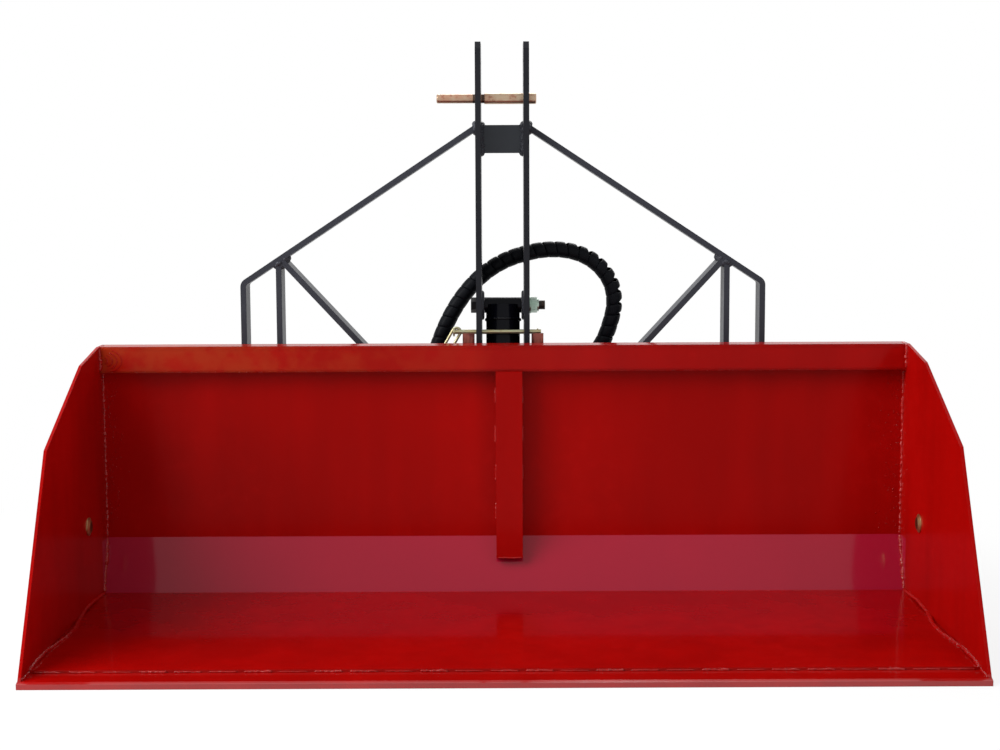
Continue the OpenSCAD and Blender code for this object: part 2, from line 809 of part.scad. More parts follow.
module rod_eye() {
    color(bright_steel) on_cylinder() difference() {
        union() {
            below(cylinder_len - eye_neck, cylinder_len - foot_pin_r, eye_neck_r);
            round_x(-eye_half_w, eye_half_w, eye_r, 0, -cylinder_len);
        }
        round_x(-eye_half_w - cut, eye_half_w + cut, foot_pin_r + run_gap, 0, -cylinder_len);
    }
}

module foot_pin() {
    color(yellow_zinc) on_cylinder() difference() {
        round_x(-foot_pin_half, foot_pin_half, foot_pin_r, 0, -cylinder_len);
        for (side = [-1, 1]) on_side(side) ring_x(lug_x + lug_t + lug_gap,
            lug_x + lug_t + lug_gap + clip_t, foot_pin_r + cut, foot_pin_r - clip_groove, 0, -cylinder_len);
    }
}

module foot_clips() {
    color(pale_zinc) on_cylinder() for (side = [-1, 1]) on_side(side)
        ring_x(lug_x + lug_t + lug_gap + run_gap, lug_x + lug_t + lug_gap + clip_t - run_gap, clip_r,
            foot_pin_r - clip_groove + bolt_gap, 0, -cylinder_len);
}

// Pins

module top_link_pin() {
    left = -upright_out - top_pin_tail;
    step = -upright_x + top_pin_step;
    right = upright_out + top_pin_end;
    color(copper_zinc) at_depth() difference() {
        translate([left, upright_mid, top_pin_z]) rotate([0, 90, 0]) rotate_extrude() polygon([
            [0, 0], [top_pin_thin_r - pin_chamfer, 0], [top_pin_thin_r, pin_chamfer],
            [top_pin_thin_r, step - left], [top_pin_r, step - left],
            [top_pin_r, right - left - pin_chamfer], [top_pin_r - pin_chamfer, right - left],
            [0, right - left]
        ]);
        translate([left + pin_cross_in, upright_mid, top_pin_z])
            cylinder(h = 3 * top_pin_r, r = pin_cross_r, center = true);
    }
}

// Rod through both uprights in front of the cylinder, with a pull ring at its left end
module lock_rod() {
    left = -upright_out - lock_left;
    right = upright_out + lock_right;
    color(yellow_zinc) at_depth() {
        round_x(left, right, lock_rod_r, lock_rod_depth, lock_rod_z);
        round_x(left - lock_head_t, left, lock_head_r, lock_rod_depth, lock_rod_z);
        translate([right - lock_ear_in, lock_rod_depth, lock_rod_z])
            cylinder(h = lock_hole_r - run_gap * 4, r = lock_ear_r);
        translate([left + lock_head_t, lock_rod_depth, lock_rod_z]) rotate([0, 90 - ring_tilt, 0])
            pull_ring();
    }
}

// Long wire ring that hangs below the origin
module pull_ring() {
    translate([0, 0, -ring_len]) for (x = [-ring_half_w, ring_half_w])
        translate([x, 0, 0]) cylinder(h = ring_len, r = ring_wire_r);
    for (end = [0, 1]) translate([0, 0, -end * ring_len]) rotate([90, 0, 0]) intersection() {
        rotate_extrude() translate([ring_half_w, 0]) circle(ring_wire_r, $fn = 24);
        translate([-2 * ring_half_w, end > 0 ? -2 * ring_half_w : 0, -ring_half_w])
            cube([4 * ring_half_w, 2 * ring_half_w, 2 * ring_half_w]);
    }
}

module link_pin(side) {
    head = link_bar_x + seat_gap;
    color(yellow_zinc) at_depth() on_side(side) difference() {
        union() {
            round_x(link_pin_in, head, link_pin_r, upright_mid, link_pin_z);
            round_x(head, head + link_head_t, link_head_r, upright_mid, link_pin_z);
        }
        translate([link_pin_in + link_pin_tail / 2, upright_mid, link_pin_z])
            cylinder(h = 3 * link_pin_r, r = pin_cross_r, center = true);
    }
}

// Hoses: a smooth curve through the route's points, followed at an even pace

function lengths_to(p, i = 0, sum = 0) =
    i == len(p) - 1 ? [sum] : concat([sum], lengths_to(p, i + 1, sum + norm(p[i + 1] - p[i])));
function span_at(c, s, i = 0) = i >= len(c) - 2 || s < c[i + 1] ? i : span_at(c, s, i + 1);
function curve(p, i, t) =
    let (
        a = p[max(i - 1, 0)], b = p[i], c = p[i + 1], d = p[min(i + 2, len(p) - 1)],
        t2 = t * t, t3 = t2 * t
    )
    (2 * b + (c - a) * t + (2 * a - 5 * b + 4 * c - d) * t2 + (3 * b - a - 3 * c + d) * t3) / 2;
function place(p, c, s) = let (i = span_at(c, s)) curve(p, i, (s - c[i]) / (c[i + 1] - c[i]));
// Both ends are square to X: the route sets off to the right and ends towards the left
function heading(p, c, s, total) =
    let (step = heading_share * total)
    s < step ? [1, 0, 0] : s > total - step ? [-1, 0, 0]
    : unit(place(p, c, s + step) - place(p, c, s - step));
function circle_at(centre, t, r, n) =
    let (side = unit([0, 1, 0] - t[1] * t), up = cross(t, side))
    [for (k = [0:n - 1]) centre + r * (cos(360 * k / n) * side + sin(360 * k / n) * up)];

// Faces of a skin over count rings of n points that start at point from
function skin(count, n, from, inward) = [
    for (i = [0:count - 2], k = [0:n - 1])
        let (
            a = from + i * n + k, b = from + i * n + (k + 1) % n,
            c = from + (i + 1) * n + (k + 1) % n, d = from + (i + 1) * n + k
        )
        each (inward ? [[a, b, c], [a, c, d]] : [[a, c, b], [a, d, c]])
];

module hose(route) {
    c = lengths_to(route);
    total = c[len(c) - 1];
    n = hose_sides;
    rings = [for (i = [0:hose_rings - 1])
        let (s = total * i / (hose_rings - 1))
        each circle_at(place(route, c, s), heading(route, c, s, total), hose_r, n)];
    last = (hose_rings - 1) * n;
    ends = concat(
        [for (k = [1:n - 2]) [0, k, k + 1]],
        [for (k = [1:n - 2]) [last, last + k + 1, last + k]]
    );
    color(black_rubber) at_depth() polyhedron(rings, concat(skin(hose_rings, n, 0, false), ends));
}

// Spiral guard: every turn starts full and dips to its end, with a bore for both hoses
module hose_guard() {
    c = lengths_to(bundle);
    total = c[len(c) - 1];
    turns = round(total / guard_pitch);
    n = hose_sides;
    stops = [for (i = [0:turns - 1], edge = [0, 1])
        [total * (i + edge * turn_share) / turns, guard_r - edge * guard_dip]];
    marks = concat(stops, [[total, guard_r - guard_dip]]);
    count = len(marks);
    outer = [for (m = marks)
        each circle_at(place(bundle, c, m[0]), heading(bundle, c, m[0], total), m[1], n)];
    inner = [for (m = marks)
        each circle_at(place(bundle, c, m[0]), heading(bundle, c, m[0], total), guard_r - guard_wall, n)];
    shift = count * n;
    last = (count - 1) * n;
    ends = [for (k = [0:n - 1]) let (m = (k + 1) % n)
        each [
            [k, m, shift + m], [k, shift + m, shift + k],
            [last + k, shift + last + m, last + m], [last + k, shift + last + k, shift + last + m]
        ]];
    color(black_rubber) at_depth() polyhedron(
        concat(outer, inner), concat(skin(count, n, 0, false), skin(count, n, shift, true), ends));
}

module couplers() {
    color(pale_zinc) at_depth() for (route = [route_a, route_b]) {
        tip = route[len(route) - 1];
        neck_x = tip[0] - coupler_len * coupler_neck_share;
        nose_x = tip[0] - coupler_len * coupler_nose_share;
        bore_x = tip[0] - coupler_len * coupler_bore_share;
        difference() {
            union() {
                round_x(neck_x, tip[0], ferrule_r, tip[1], tip[2]);
                round_x(nose_x, tip[0] - coupler_len * coupler_nut_share, coupler_r, tip[1], tip[2], 6);
                round_x(tip[0] - coupler_len, nose_x, coupler_nose_r, tip[1], tip[2]);
            }
            round_x(tip[0] - coupler_len - cut, bore_x, hose_r, tip[1], tip[2]);
        }
    }
}

box_sheet();
side_panel(-1);  // side_panel_left
side_panel(1);  // side_panel_right
top_tube();
centre_stiffener();
cutting_blade();
runner(-half_w + runner_inset);  // runner_left
runner(0);  // runner_centre
runner(half_w - runner_inset);  // runner_right
pivot_plate(-1);  // pivot_plate_left
pivot_plate(1);  // pivot_plate_right
stop_lug(-1);  // stop_lug_left
stop_lug(1);  // stop_lug_right
cylinder_lug(-1);  // cylinder_lug_left
cylinder_lug(1);  // cylinder_lug_right
upright(-1);  // upright_left
upright(1);  // upright_right
cross_plate();
diagonal_bar(-1);  // diagonal_bar_left
diagonal_bar(1);  // diagonal_bar_right
outer_link_bar(-1);  // outer_link_bar_left
outer_link_bar(1);  // outer_link_bar_right
inner_link_bar(-1);  // inner_link_bar_left
inner_link_bar(1);  // inner_link_bar_right
brace(-1);  // brace_left
brace(1);  // brace_right
beam(-1);  // beam_left
beam(1);  // beam_right
bridge_plate();
side_arm(-1);  // side_arm_left
side_arm(1);  // side_arm_right
boss_discs();
pivot_bolts();
pivot_washers();
pivot_nuts();
cylinder_bolt();
cylinder_washer();
cylinder_nut();
cross_tube();
base_cap();
barrel();
gland();
wiper_seal();
base_pipe();
rod_pipe();
port_elbows();
piston();
piston_seal();
piston_rod();
rod_eye();
foot_pin();
foot_clips();
top_link_pin();
lock_rod();
link_pin(-1);  // link_pin_left
link_pin(1);  // link_pin_right
hose(route_a);  // hose_a
hose(route_b);  // hose_b
hose_guard();
couplers();
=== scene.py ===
"""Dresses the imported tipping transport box: paint, plating, weld beads, hoses and stage."""

import json
import math

import bpy
import numpy as np
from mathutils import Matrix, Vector


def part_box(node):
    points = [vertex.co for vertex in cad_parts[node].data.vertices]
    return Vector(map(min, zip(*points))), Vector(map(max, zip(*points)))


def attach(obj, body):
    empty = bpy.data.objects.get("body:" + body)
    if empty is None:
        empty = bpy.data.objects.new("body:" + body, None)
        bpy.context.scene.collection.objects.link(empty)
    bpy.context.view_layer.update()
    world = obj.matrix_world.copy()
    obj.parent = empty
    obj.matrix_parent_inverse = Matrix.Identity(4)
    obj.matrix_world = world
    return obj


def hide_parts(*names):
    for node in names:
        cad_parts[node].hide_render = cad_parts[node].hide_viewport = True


bl_info = {
    "name": "Tipping transport box",
    "version": (1, 0, 0),
    "blender": (4, 5, 0),
    "location": "View3D > Sidebar > Transport box",
    "description": "Paints the packed transport box and adds its welds, hoses and stage",
    "category": "Object",
}

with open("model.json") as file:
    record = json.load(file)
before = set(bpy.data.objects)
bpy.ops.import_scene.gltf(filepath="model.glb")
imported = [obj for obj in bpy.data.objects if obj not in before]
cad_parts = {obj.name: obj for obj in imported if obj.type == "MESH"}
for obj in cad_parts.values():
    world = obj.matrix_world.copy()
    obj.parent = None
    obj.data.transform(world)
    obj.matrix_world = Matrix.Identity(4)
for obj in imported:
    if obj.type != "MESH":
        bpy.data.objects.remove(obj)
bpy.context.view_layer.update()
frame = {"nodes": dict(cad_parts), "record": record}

TAU = 2 * math.pi
# Half of the machine's depth: the part's source measures depths from the cutting edge
HALF_DEPTH = 0.373196
# Places of the bent sheet, as in the part's source
FLOOR_Z = 0.014
FACET_Z = 0.104
BEND_DEPTH = 0.533
WALL_DEPTH = 0.575
SHEET_FRONT_DEPTH = 0.052
SHEET_T = 0.004
UNDER_Z = 0.010
# Height of the seam on the blade, and depth and height of the front end of its side seams
BLADE_SEAM_Z = 0.011
BLADE_SEAM_END = (0.012, 0.0105)
# Where the tube's long seams end, as distances to the right: the one behind and the one below
BACK_SEAM_X = 0.60
LOW_SEAM_X = 0.66
# Depths of both ends of the runners' seams, and top of the spatter
RUNNER_SEAM = (0.13, 0.51)
SPATTER_TOP_Z = 0.385
# Depth at which the stiffener's foot meets the sloping strip
RIB_FOOT_DEPTH = 0.5585
# Depth and height of both ends of the cylinder lugs' seams behind the sloping strip
LUG_SEAM = ((0.5352, 0.010), (0.5765, 0.0985))
# Depth and height of the box's pivot and of the cylinder's bolt
PIVOT = (0.438, 0.150)
HANG = (0.675, 0.502)
# Lean and length of the cylinder at rest, and distances of its ports below the bolt
LEAN = math.atan2(0.075, 0.466)
CYLINDER_LENGTH = math.hypot(0.075, 0.466)
PORTS = (0.044, 0.248)
# Half the width of a port's block, how far behind the cylinder's axis its side seams run, and
# how far the cylinder's end seams are from the bolt and from the foot pin
BLOCK_HALF = 0.011
BLOCK_SEAM = 0.0285
END_SEAM = 0.026
# Flat bars of the frame: half their thickness, their slopes and the diagonals' upper end
HALF_BAR = 0.005
DIAGONAL_SLOPE = math.radians(33.4)
BRACE_SLOPE = math.radians(47.2)
DIAGONAL_ROOT_Z = 0.815
# Groove and neck of the top-link pin (bands of painted shade), as distances to the right
PIN_GROOVE_X = -0.0495
PIN_NECK_X = -0.0335
# Radii of the round seams
PLATE_SEAM = 0.0405
BOSS_SEAM = 0.0232
BARREL_SEAM = 0.0302
ROD_SEAM = 0.0145
# Name, place, aim, size and share of the key lamp's power of each lamp
LAMPS = (
    ("key_lamp", (-2.9, -1.5, 3.6), (0, 0, 0.2), 2.6, 1.0),
    ("left_lamp", (-3.5, -1.1, 1.5), (0.5, 0, 0.3), 1.6, 0.55),
    ("right_lamp", (2.9, -2.4, 2.2), (0, 0, 0.3), 2.0, 0.08),
    ("back_lamp", (0.4, 2.8, 2.6), (0, 0, 0.4), 2.0, 0.35))


def at(x, depth, z):
    """Point in the frame from its distance to the right, its depth and its height, in metres."""
    return np.array([x, depth - HALF_DEPTH, z])


# Sizes and colours that a user may change


def length_setting(name, description, default, low, high, precision=4):
    return bpy.props.FloatProperty(
        name=name, description=description, default=default, min=low, max=high, unit="LENGTH",
        precision=precision)


def colour_setting(name, description, default):
    return bpy.props.FloatVectorProperty(
        name=name, description=description, default=default, min=0, max=1, subtype="COLOR")


class PaintSettings(bpy.types.PropertyGroup):
    box_red: colour_setting(
        "Box red", "Colour of the enamel on the box", (0.325, 0.0016, 0.0010))
    frame_grey: colour_setting(
        "Frame grey", "Colour of the enamel on the frame", (0.0150, 0.0158, 0.0195))
    # Painted light: the thin bars get a paler copy of the frame's grey, so that they look lit
    lit_bar_grey: colour_setting(
        "Bar grey", "Colour of the enamel on the frame's thin bars", (0.0390, 0.04108, 0.0507))
    # Painted light: the cross plate gets a paler copy of the frame's grey, so that it looks lit
    lit_plate_grey: colour_setting(
        "Plate grey", "Colour of the enamel on the cross plate", (0.048, 0.054, 0.063))
    cylinder_black: colour_setting(
        "Cylinder black", "Colour of the enamel on the cylinder", (0.0026, 0.0028, 0.0058))
    primer_red: colour_setting(
        "Primer red", "Colour of the primer on the stop lugs", (0.085, 0.012, 0.009))
    sheet_wave: length_setting(
        "Sheet waves", "Height of the slow waves in the rolled sheet", 0.00018, 0, 0.003, 5)
    peel: length_setting(
        "Orange peel", "Height of the fine dimples in the enamel", 0.000006, 0, 0.0001, 6)
    edge_round: length_setting(
        "Edge rounding", "Radius to which cut edges look rounded", 0.0012, 0, 0.005)
    tube_round: length_setting(
        "Tube corners", "Outer corner radius of the rolled square tubes", 0.010, 0, 0.012)


class WeldSettings(bpy.types.PropertyGroup):
    bead: length_setting(
        "Bead radius", "Radius of an ordinary weld bead", 0.0038, 0.001, 0.01)
    ripple: length_setting(
        "Ripple length", "Distance from one ripple of a bead to the next", 0.0032, 0.001, 0.01)
    ripple_share: bpy.props.FloatProperty(
        name="Ripple height", description="Height of the ripples as a share of the bead's radius",
        default=0.10, min=0, max=0.4, subtype="FACTOR")
    spatter: bpy.props.IntProperty(
        name="Spatter", description="How many drops of spatter stick beside the inner welds",
        default=420, min=0, max=2000)


class HoseSettings(bpy.types.PropertyGroup):
    hose_diameter: length_setting(
        "Hose diameter", "Outer diameter of one hydraulic hose", 0.0108, 0.008, 0.014)
    guard_radius: length_setting(
        "Guard radius", "Outer radius of the spiral guard", 0.0146, 0.012, 0.018)
    turn: length_setting(
        "Turn length", "Length along the hoses of one turn of the guard", 0.0208, 0.01, 0.05)
    strip_share: bpy.props.FloatProperty(
        name="Strip width", description="Width of the guard's strip as a share of a turn",
        default=0.965, min=0.5, max=0.98, subtype="FACTOR")


class StageSettings(bpy.types.PropertyGroup):
    camera_distance: length_setting(
        "Camera distance", "Distance of the camera in front of the cutting edge", 2.427, 1, 6)
    camera_height: length_setting(
        "Camera height", "Height of the camera above the ground", 0.722, 0.2, 3)
    camera_drop: bpy.props.FloatProperty(
        name="Camera tilt", description="Angle by which the camera looks down",
        default=math.radians(6.36), min=0, max=math.radians(60), subtype="ANGLE")
    camera_roll: bpy.props.FloatProperty(
        name="Camera roll", description="Angle by which the camera is turned about its view",
        default=math.radians(0.24), min=-0.2, max=0.2, subtype="ANGLE")
    lens: bpy.props.FloatProperty(
        name="Lens", description="Focal length for a sensor 36 mm wide",
        default=62.64, min=20, max=200, subtype="DISTANCE_CAMERA")
    key_power: bpy.props.FloatProperty(
        name="Key lamp", description="Power of the large lamp high on the left",
        default=148, min=0, max=2000, unit="POWER")
    sky_light: bpy.props.FloatProperty(
        name="Sky light", description="Strength of the even light from all round",
        default=0.62, min=0, max=2)


# Materials: one class for a number in a node tree and one for the material round it


class Number:
    """A number socket of a node tree. Arithmetic on it adds Math nodes."""

    def __init__(self, nodes, socket):
        self.nodes = nodes
        self.socket = socket

    def math(self, operation, *terms):
        return self.nodes.node("ShaderNodeMath", {"operation": operation}, dict(enumerate(terms)))

    def __add__(self, other):
        return self.math("ADD", self, other)

    __radd__ = __add__

    def __sub__(self, other):
        return self.math("SUBTRACT", self, other)

    def __rsub__(self, other):
        return self.math("SUBTRACT", other, self)

    def __mul__(self, other):
        return self.math("MULTIPLY", self, other)

    __rmul__ = __mul__

    def __abs__(self):
        return self.math("ABSOLUTE", self)

    def sine(self):
        return self.math("SINE", self)

    def step(self, low, high):
        """0 below low, 1 above high and a smooth rise between them."""
        return self.nodes.node(
            "ShaderNodeMapRange", {"interpolation_type": "SMOOTHSTEP"},
            {"Value": self, "From Min": low, "From Max": high})


class Nodes:
    """A node tree, and the methods that add nodes to it."""

    def __init__(self, tree):
        self.tree = tree

    def feed(self, socket, value):
        if isinstance(value, Number):
            self.tree.links.new(value.socket, socket)
        elif socket.type == "RGBA" and len(value) == 3:
            socket.default_value = (*value, 1)
        else:
            socket.default_value = value

    def node(self, kind, settings=None, sockets=None, output=0):
        """Adds a node of that type with its settings, feeds its sockets and returns one output."""
        made = self.tree.nodes.new(kind)
        for name, value in (settings or {}).items():
            setattr(made, name, value)
        for name, value in (sockets or {}).items():
            self.feed(made.inputs[name], value)
        return Number(self, made.outputs[output])

    def seen_directly(self):
        """1 for rays from the camera, a mirror or glass, 0 for the light that falls on things."""
        eye, mirror, glass = (self.node("ShaderNodeLightPath", output=name) for name in (
            "Is Camera Ray", "Is Glossy Ray", "Is Transmission Ray"))
        return eye.math("MAXIMUM", eye.math("MAXIMUM", eye, mirror), glass)


class Finish(Nodes):
    """A material with one Principled shader, and the methods that add nodes before it."""

    def __init__(self, name, **constants):
        self.material = bpy.data.materials.new(name)
        self.material.use_nodes = True
        super().__init__(self.material.node_tree)
        self.shader = self.tree.nodes["Principled BSDF"]
        self.set(**constants)
        self.spot = self.node("ShaderNodeTexCoord", output="Object")

    def set(self, **sockets):
        """Feeds the shader's sockets, named with _ for a space."""
        for name, value in sockets.items():
            self.feed(self.shader.inputs[name.replace("_", " ")], value)

    def mix(self, share, first, second):
        return self.node(
            "ShaderNodeMix", {"data_type": "RGBA"}, {0: share, 6: first, 7: second}, 2)

    def noise(self, scale, detail=2.0, spot=None):
        return self.node("ShaderNodeTexNoise", None,
                         {"Vector": spot or self.spot, "Scale": scale, "Detail": detail})

    def specks(self, scale):
        """Distance to the nearest of many scattered points, in cells."""
        return self.node("ShaderNodeTexVoronoi", None, {"Vector": self.spot, "Scale": scale})

    def axis(self, name):
        return self.node("ShaderNodeSeparateXYZ", None, {"Vector": self.spot}, name)

    def stretched(self, x, y, z):
        """The spot scaled by a number along each axis, for streaks."""
        return self.node("ShaderNodeMapping", {"vector_type": "POINT"},
                         {"Vector": self.spot, "Scale": (x, y, z)})

    def edges(self, radius):
        """1 within the radius of a sharp edge, and the normal that looks rounded there."""
        rounded = self.node("ShaderNodeBevel", {"samples": 4}, {"Radius": radius})
        flat = self.node("ShaderNodeNewGeometry", output="True Normal")
        along = self.node("ShaderNodeVectorMath", {"operation": "DOT_PRODUCT"},
                          {0: rounded, 1: flat}, "Value")
        return (1 - along).step(0.004, 0.16), rounded

    def bump(self, height, normal=None):
        """Feeds the shader's Normal with a height in metres."""
        sockets = {"Height": height, "Distance": 1.0, "Strength": 1.0}
        if normal:
            sockets["Normal"] = normal
        self.set(Normal=self.node("ShaderNodeBump", None, sockets))


def enamel(name, colour, paint, weld=False, gloss=0.16, light_share=0.5, coat=0.1,
           specular=0.06, corner=None):
    """Sprayed enamel on steel sheet: slow waves, orange peel, dust nibs, streaks and rubbed
    edges. Its darker and paler patches follow slow noise and streaks along Z."""
    finish = Finish(name, Specular_IOR_Level=specular, Coat_Roughness=0.07, IOR=1.5)
    worn, rounded = finish.edges(corner or paint.edge_round)
    cloud = finish.noise(3.1, 3)
    fine = finish.noise(46, 3)
    streaks = finish.noise(5, 3, finish.stretched(3, 3, 0.35))
    nibs = finish.specks(240)
    deep = tuple(0.8 * c for c in colour)
    pale = tuple(min(1, c * (1 + light_share * 0.4) + 0.003 * light_share) for c in colour)
    tone = finish.mix((cloud * 0.55 + streaks * 0.45).step(0.34, 0.68), deep, colour)
    tone = finish.mix((cloud * 0.5 + fine * 0.5).step(0.52, 0.72) * 0.35, tone, pale)
    thin = (worn * fine).step(0.42, 0.60) * 0.5
    tone = finish.mix(thin, tone, tuple(0.42 * c + 0.004 for c in colour))
    nib = (1 - nibs.step(0.05, 0.16)) * finish.noise(9).step(0.55, 0.68)
    finish.tone = tone
    finish.set(
        Base_Color=tone,
        Roughness=gloss + fine * 0.07 + cloud * 0.05 + thin * 0.25,
        Coat_Weight=coat * (0.7 + finish.noise(2.2).step(0.4, 0.7) * 0.6))
    height = fine * paint.peel * 2 + finish.noise(330) * paint.peel + nib * paint.peel * 3
    if weld:
        height = height + finish.noise(420, 3) * 0.00025 + finish.noise(120) * 0.0004
    else:
        height = height + cloud * paint.sheet_wave + streaks * paint.sheet_wave * 0.25
    finish.bump(height, rounded)
    return finish


def box_enamel(paint):
    """The box's red enamel. It lies thick and glossy on the floor, on the blade's front edge (the
    lip) and on the sloping strip behind the bend (the facet), which gets a cooler tint as a
    painted reflection."""
    finish = enamel("Red enamel", tuple(paint.box_red), paint, specular=0.025)
    z, y = finish.axis("Z"), finish.axis("Y")
    low = 1 - z.step(FLOOR_Z + 0.0005, FLOOR_Z + 0.001)
    bend = y.step(BEND_DEPTH - HALF_DEPTH - 0.001, BEND_DEPTH - HALF_DEPTH + 0.001)
    facet = bend * (1 - z.step(FACET_Z - 0.001, FACET_Z + 0.001))
    wall = WALL_DEPTH - HALF_DEPTH
    facet = facet * (1 - y.step(wall + 0.0001, wall + 0.0005))
    lip = 1 - y.step(0.0005 - HALF_DEPTH, 0.003 - HALF_DEPTH)
    # Painted reflection: the facet's base colour turns cooler and bluer
    cool_reflection_tint = tuple(0.88 * c + extra for c, extra in zip(paint.box_red, (0.03, 0.004, 0.028)))
    finish.set(
        Base_Color=finish.mix(facet * 0.8, finish.tone, cool_reflection_tint),
        Coat_Weight=0.02 + facet * 0.42 + low * (1 - bend) * 0.5 + lip * 0.75)
    return finish.material


def rubber(name, colour, roughness, grain):
    """Moulded rubber or tough plastic: a fine grain, dusty patches and a dull sheen."""
    finish = Finish(name, Specular_IOR_Level=0.06)
    dust = finish.noise(26, 4)
    fine = finish.noise(900, 2)
    tone = finish.mix(dust.step(0.5, 0.78) * 0.5, colour, tuple(1.8 * c + 0.0015 for c in colour))
    finish.set(Base_Color=tone, Roughness=roughness + dust * 0.18)
    finish.bump(fine * grain + dust * grain * 3)
    return finish.material


def plating(name, colours, roughness, thread_axis=None, thread_from=0.0):
    """Passivated zinc: metal whose tint drifts between three colours, with fine turning marks.
    A thread along an axis has a pitch of 2 mm and starts that far from the middle."""
    finish = Finish(name, Metallic=1.0)
    worn, rounded = finish.edges(0.0005)
    drift = finish.noise(34, 3)
    spots = finish.noise(150, 4)
    turned = finish.noise(60, 2, finish.stretched(22, 0.4, 0.4))
    tone = finish.mix(drift.step(0.36, 0.62), colours[0], colours[1])
    tone = finish.mix(spots.step(0.55, 0.72) * 0.7, tone, colours[2])
    tone = finish.mix(worn * 0.5, tone, tuple(min(1, 1.25 * c) for c in colours[0]))
    finish.tone = tone
    finish.set(Base_Color=tone, Roughness=roughness + spots * 0.22 - worn * 0.05)
    height = turned * 0.00003 + spots * 0.00002
    if thread_axis:
        along = finish.axis(thread_axis)
        thread = abs((along * (math.pi / 0.002)).sine())
        height = height + thread * 0.0009 * abs(along).step(thread_from, thread_from + 0.0005)
    finish.bump(height, rounded)
    return finish


def polished(name):
    """Ground and chromed steel with fine rings of tool marks and a film of oil."""
    finish = Finish(name, Metallic=1.0, Coat_Roughness=0.2)
    film = finish.noise(20, 3)
    rings = finish.noise(900, 1, finish.stretched(0.1, 0.1, 1))
    finish.set(
        Base_Color=finish.mix(film.step(0.45, 0.7), (0.62, 0.63, 0.66), (0.46, 0.45, 0.42)),
        Roughness=0.12 + film * 0.16, Coat_Weight=film.step(0.5, 0.7) * 0.5)
    finish.bump(rings * 0.000004)
    return finish.material


# Surfaces


def wander(s, seed, longest):
    """Smooth waviness from -1 to 1: the mean of three sines of s, the slowest of that length."""
    return sum(np.sin(TAU * s * k / longest + seed * (k + 1.3)) for k in (1.0, 2.7, 6.1)) / 3


def mesh_piece(name, vertices, faces, body, material, slot):
    """A smooth mesh object from points and a list of face arrays, which rides on a body."""
    mesh = bpy.data.meshes.new(name)
    lists = [row for block in faces for row in block.tolist()]
    mesh.from_pydata(vertices.tolist(), [], lists)
    mesh.polygons.foreach_set("use_smooth", np.full(len(lists), True))
    mesh.update()
    mesh.materials.append(material)
    piece = bpy.data.objects.new(name, mesh)
    bpy.context.scene.collection.objects.link(piece)
    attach(piece, body)
    return piece


def grid_faces(rows, columns, wrap_rows=False):
    """Quads between rows of a grid whose columns close round, first index the row."""
    last = rows if wrap_rows else rows - 1
    i, k = np.meshgrid(np.arange(last), np.arange(columns), indexing="ij")
    j, m = (i + 1) % rows, (k + 1) % columns
    quads = np.stack([i * columns + k, i * columns + m, j * columns + m, j * columns + k], -1)
    return quads.reshape(-1, 4)


def resampled(points, step, closed=False):
    """Points at an even step along the line through the given points, their distances along it
    and its whole length."""
    points = np.asarray(points, float)
    if closed:
        points = np.vstack([points, points[:1]])
    lengths = np.concatenate([[0], np.cumsum(np.linalg.norm(np.diff(points, axis=0), axis=1))])
    count = max(int(lengths[-1] / step), 6)
    s = np.linspace(0, lengths[-1], count, endpoint=not closed)
    return np.stack([np.interp(s, lengths, points[:, a]) for a in range(3)], 1), s, lengths[-1]


def bead(points, out, radius, seed, welds, closed=False, lumpy=0.12):
    """Weld bead. Round the line through the points runs a ring of 10 points whose radius is
    r * (1 + ripple * cos(distance / ripple length, bent back by the angle from the crown)
    + lumpiness * wander), and which shrinks as a half circle towards both ends. The line itself
    wanders by a quarter of the radius outwards and a little more sideways."""
    line, s, total = resampled(points, welds.ripple / 4, closed)
    columns = 10
    ahead = np.roll(line, -1, 0) - np.roll(line, 1, 0) if closed else np.gradient(line, axis=0)
    ahead /= np.linalg.norm(ahead, axis=1)[:, None]
    out = np.broadcast_to(np.asarray(out, float), line.shape)
    up = out - (out * ahead).sum(1)[:, None] * ahead
    up /= np.linalg.norm(up, axis=1)[:, None]
    side = np.cross(ahead, up)
    angle = TAU * np.arange(columns) / columns
    chevron = 1.6 * np.sin(angle) ** 2
    wave = np.cos(TAU * s[:, None] / welds.ripple + chevron[None, :])
    size = radius * (1 + welds.ripple_share * wave + lumpy * wander(s, seed, 0.07)[:, None])
    if not closed:
        end = np.clip(np.minimum(s, total - s) / (1.5 * radius), 0, 1)
        size = size * np.sqrt(1 - (1 - end) ** 2)[:, None]
    line = line + up * (radius * 0.25 * wander(s, seed + 2, 0.05))[:, None]
    line = line + side * (radius * 0.3 * wander(s, seed + 5, 0.06))[:, None]
    cosine, sine = np.cos(angle)[None, :, None], np.sin(angle)[None, :, None]
    spots = line[:, None] + size[:, :, None] * (up[:, None] * cosine + side[:, None] * sine)
    if closed:
        return spots.reshape(-1, 3), [grid_faces(len(s), columns, True)]
    inner = spots[1:-1]
    rows = len(inner)
    vertices = np.vstack([inner.reshape(-1, 3), line[:1], line[-1:]])
    k = np.arange(columns)
    first, last = rows * columns, rows * columns + 1
    head = np.stack([np.full(columns, first), (k + 1) % columns, k], 1)
    base = (rows - 1) * columns
    tail = np.stack([np.full(columns, last), base + k, base + (k + 1) % columns], 1)
    return vertices, [grid_faces(rows, columns), head, tail]


def joined(parts):
    """Several surfaces as one: the points stacked and the faces' numbers moved up to match."""
    vertices, faces, start = [], [], 0
    for points, blocks in parts:
        vertices.append(points)
        faces.extend(block + start for block in blocks)
        start += len(points)
    return np.vstack(vertices), faces


def beads_piece(name, runs, body, material, slot, welds):
    """One piece from runs of (points, out, radius, options)."""
    parts = [bead(points, out, radius, seed * 1.7 + 0.4, welds, **options)
             for seed, (points, out, radius, options) in enumerate(runs)]
    return mesh_piece(name, *joined(parts), body, material, slot)


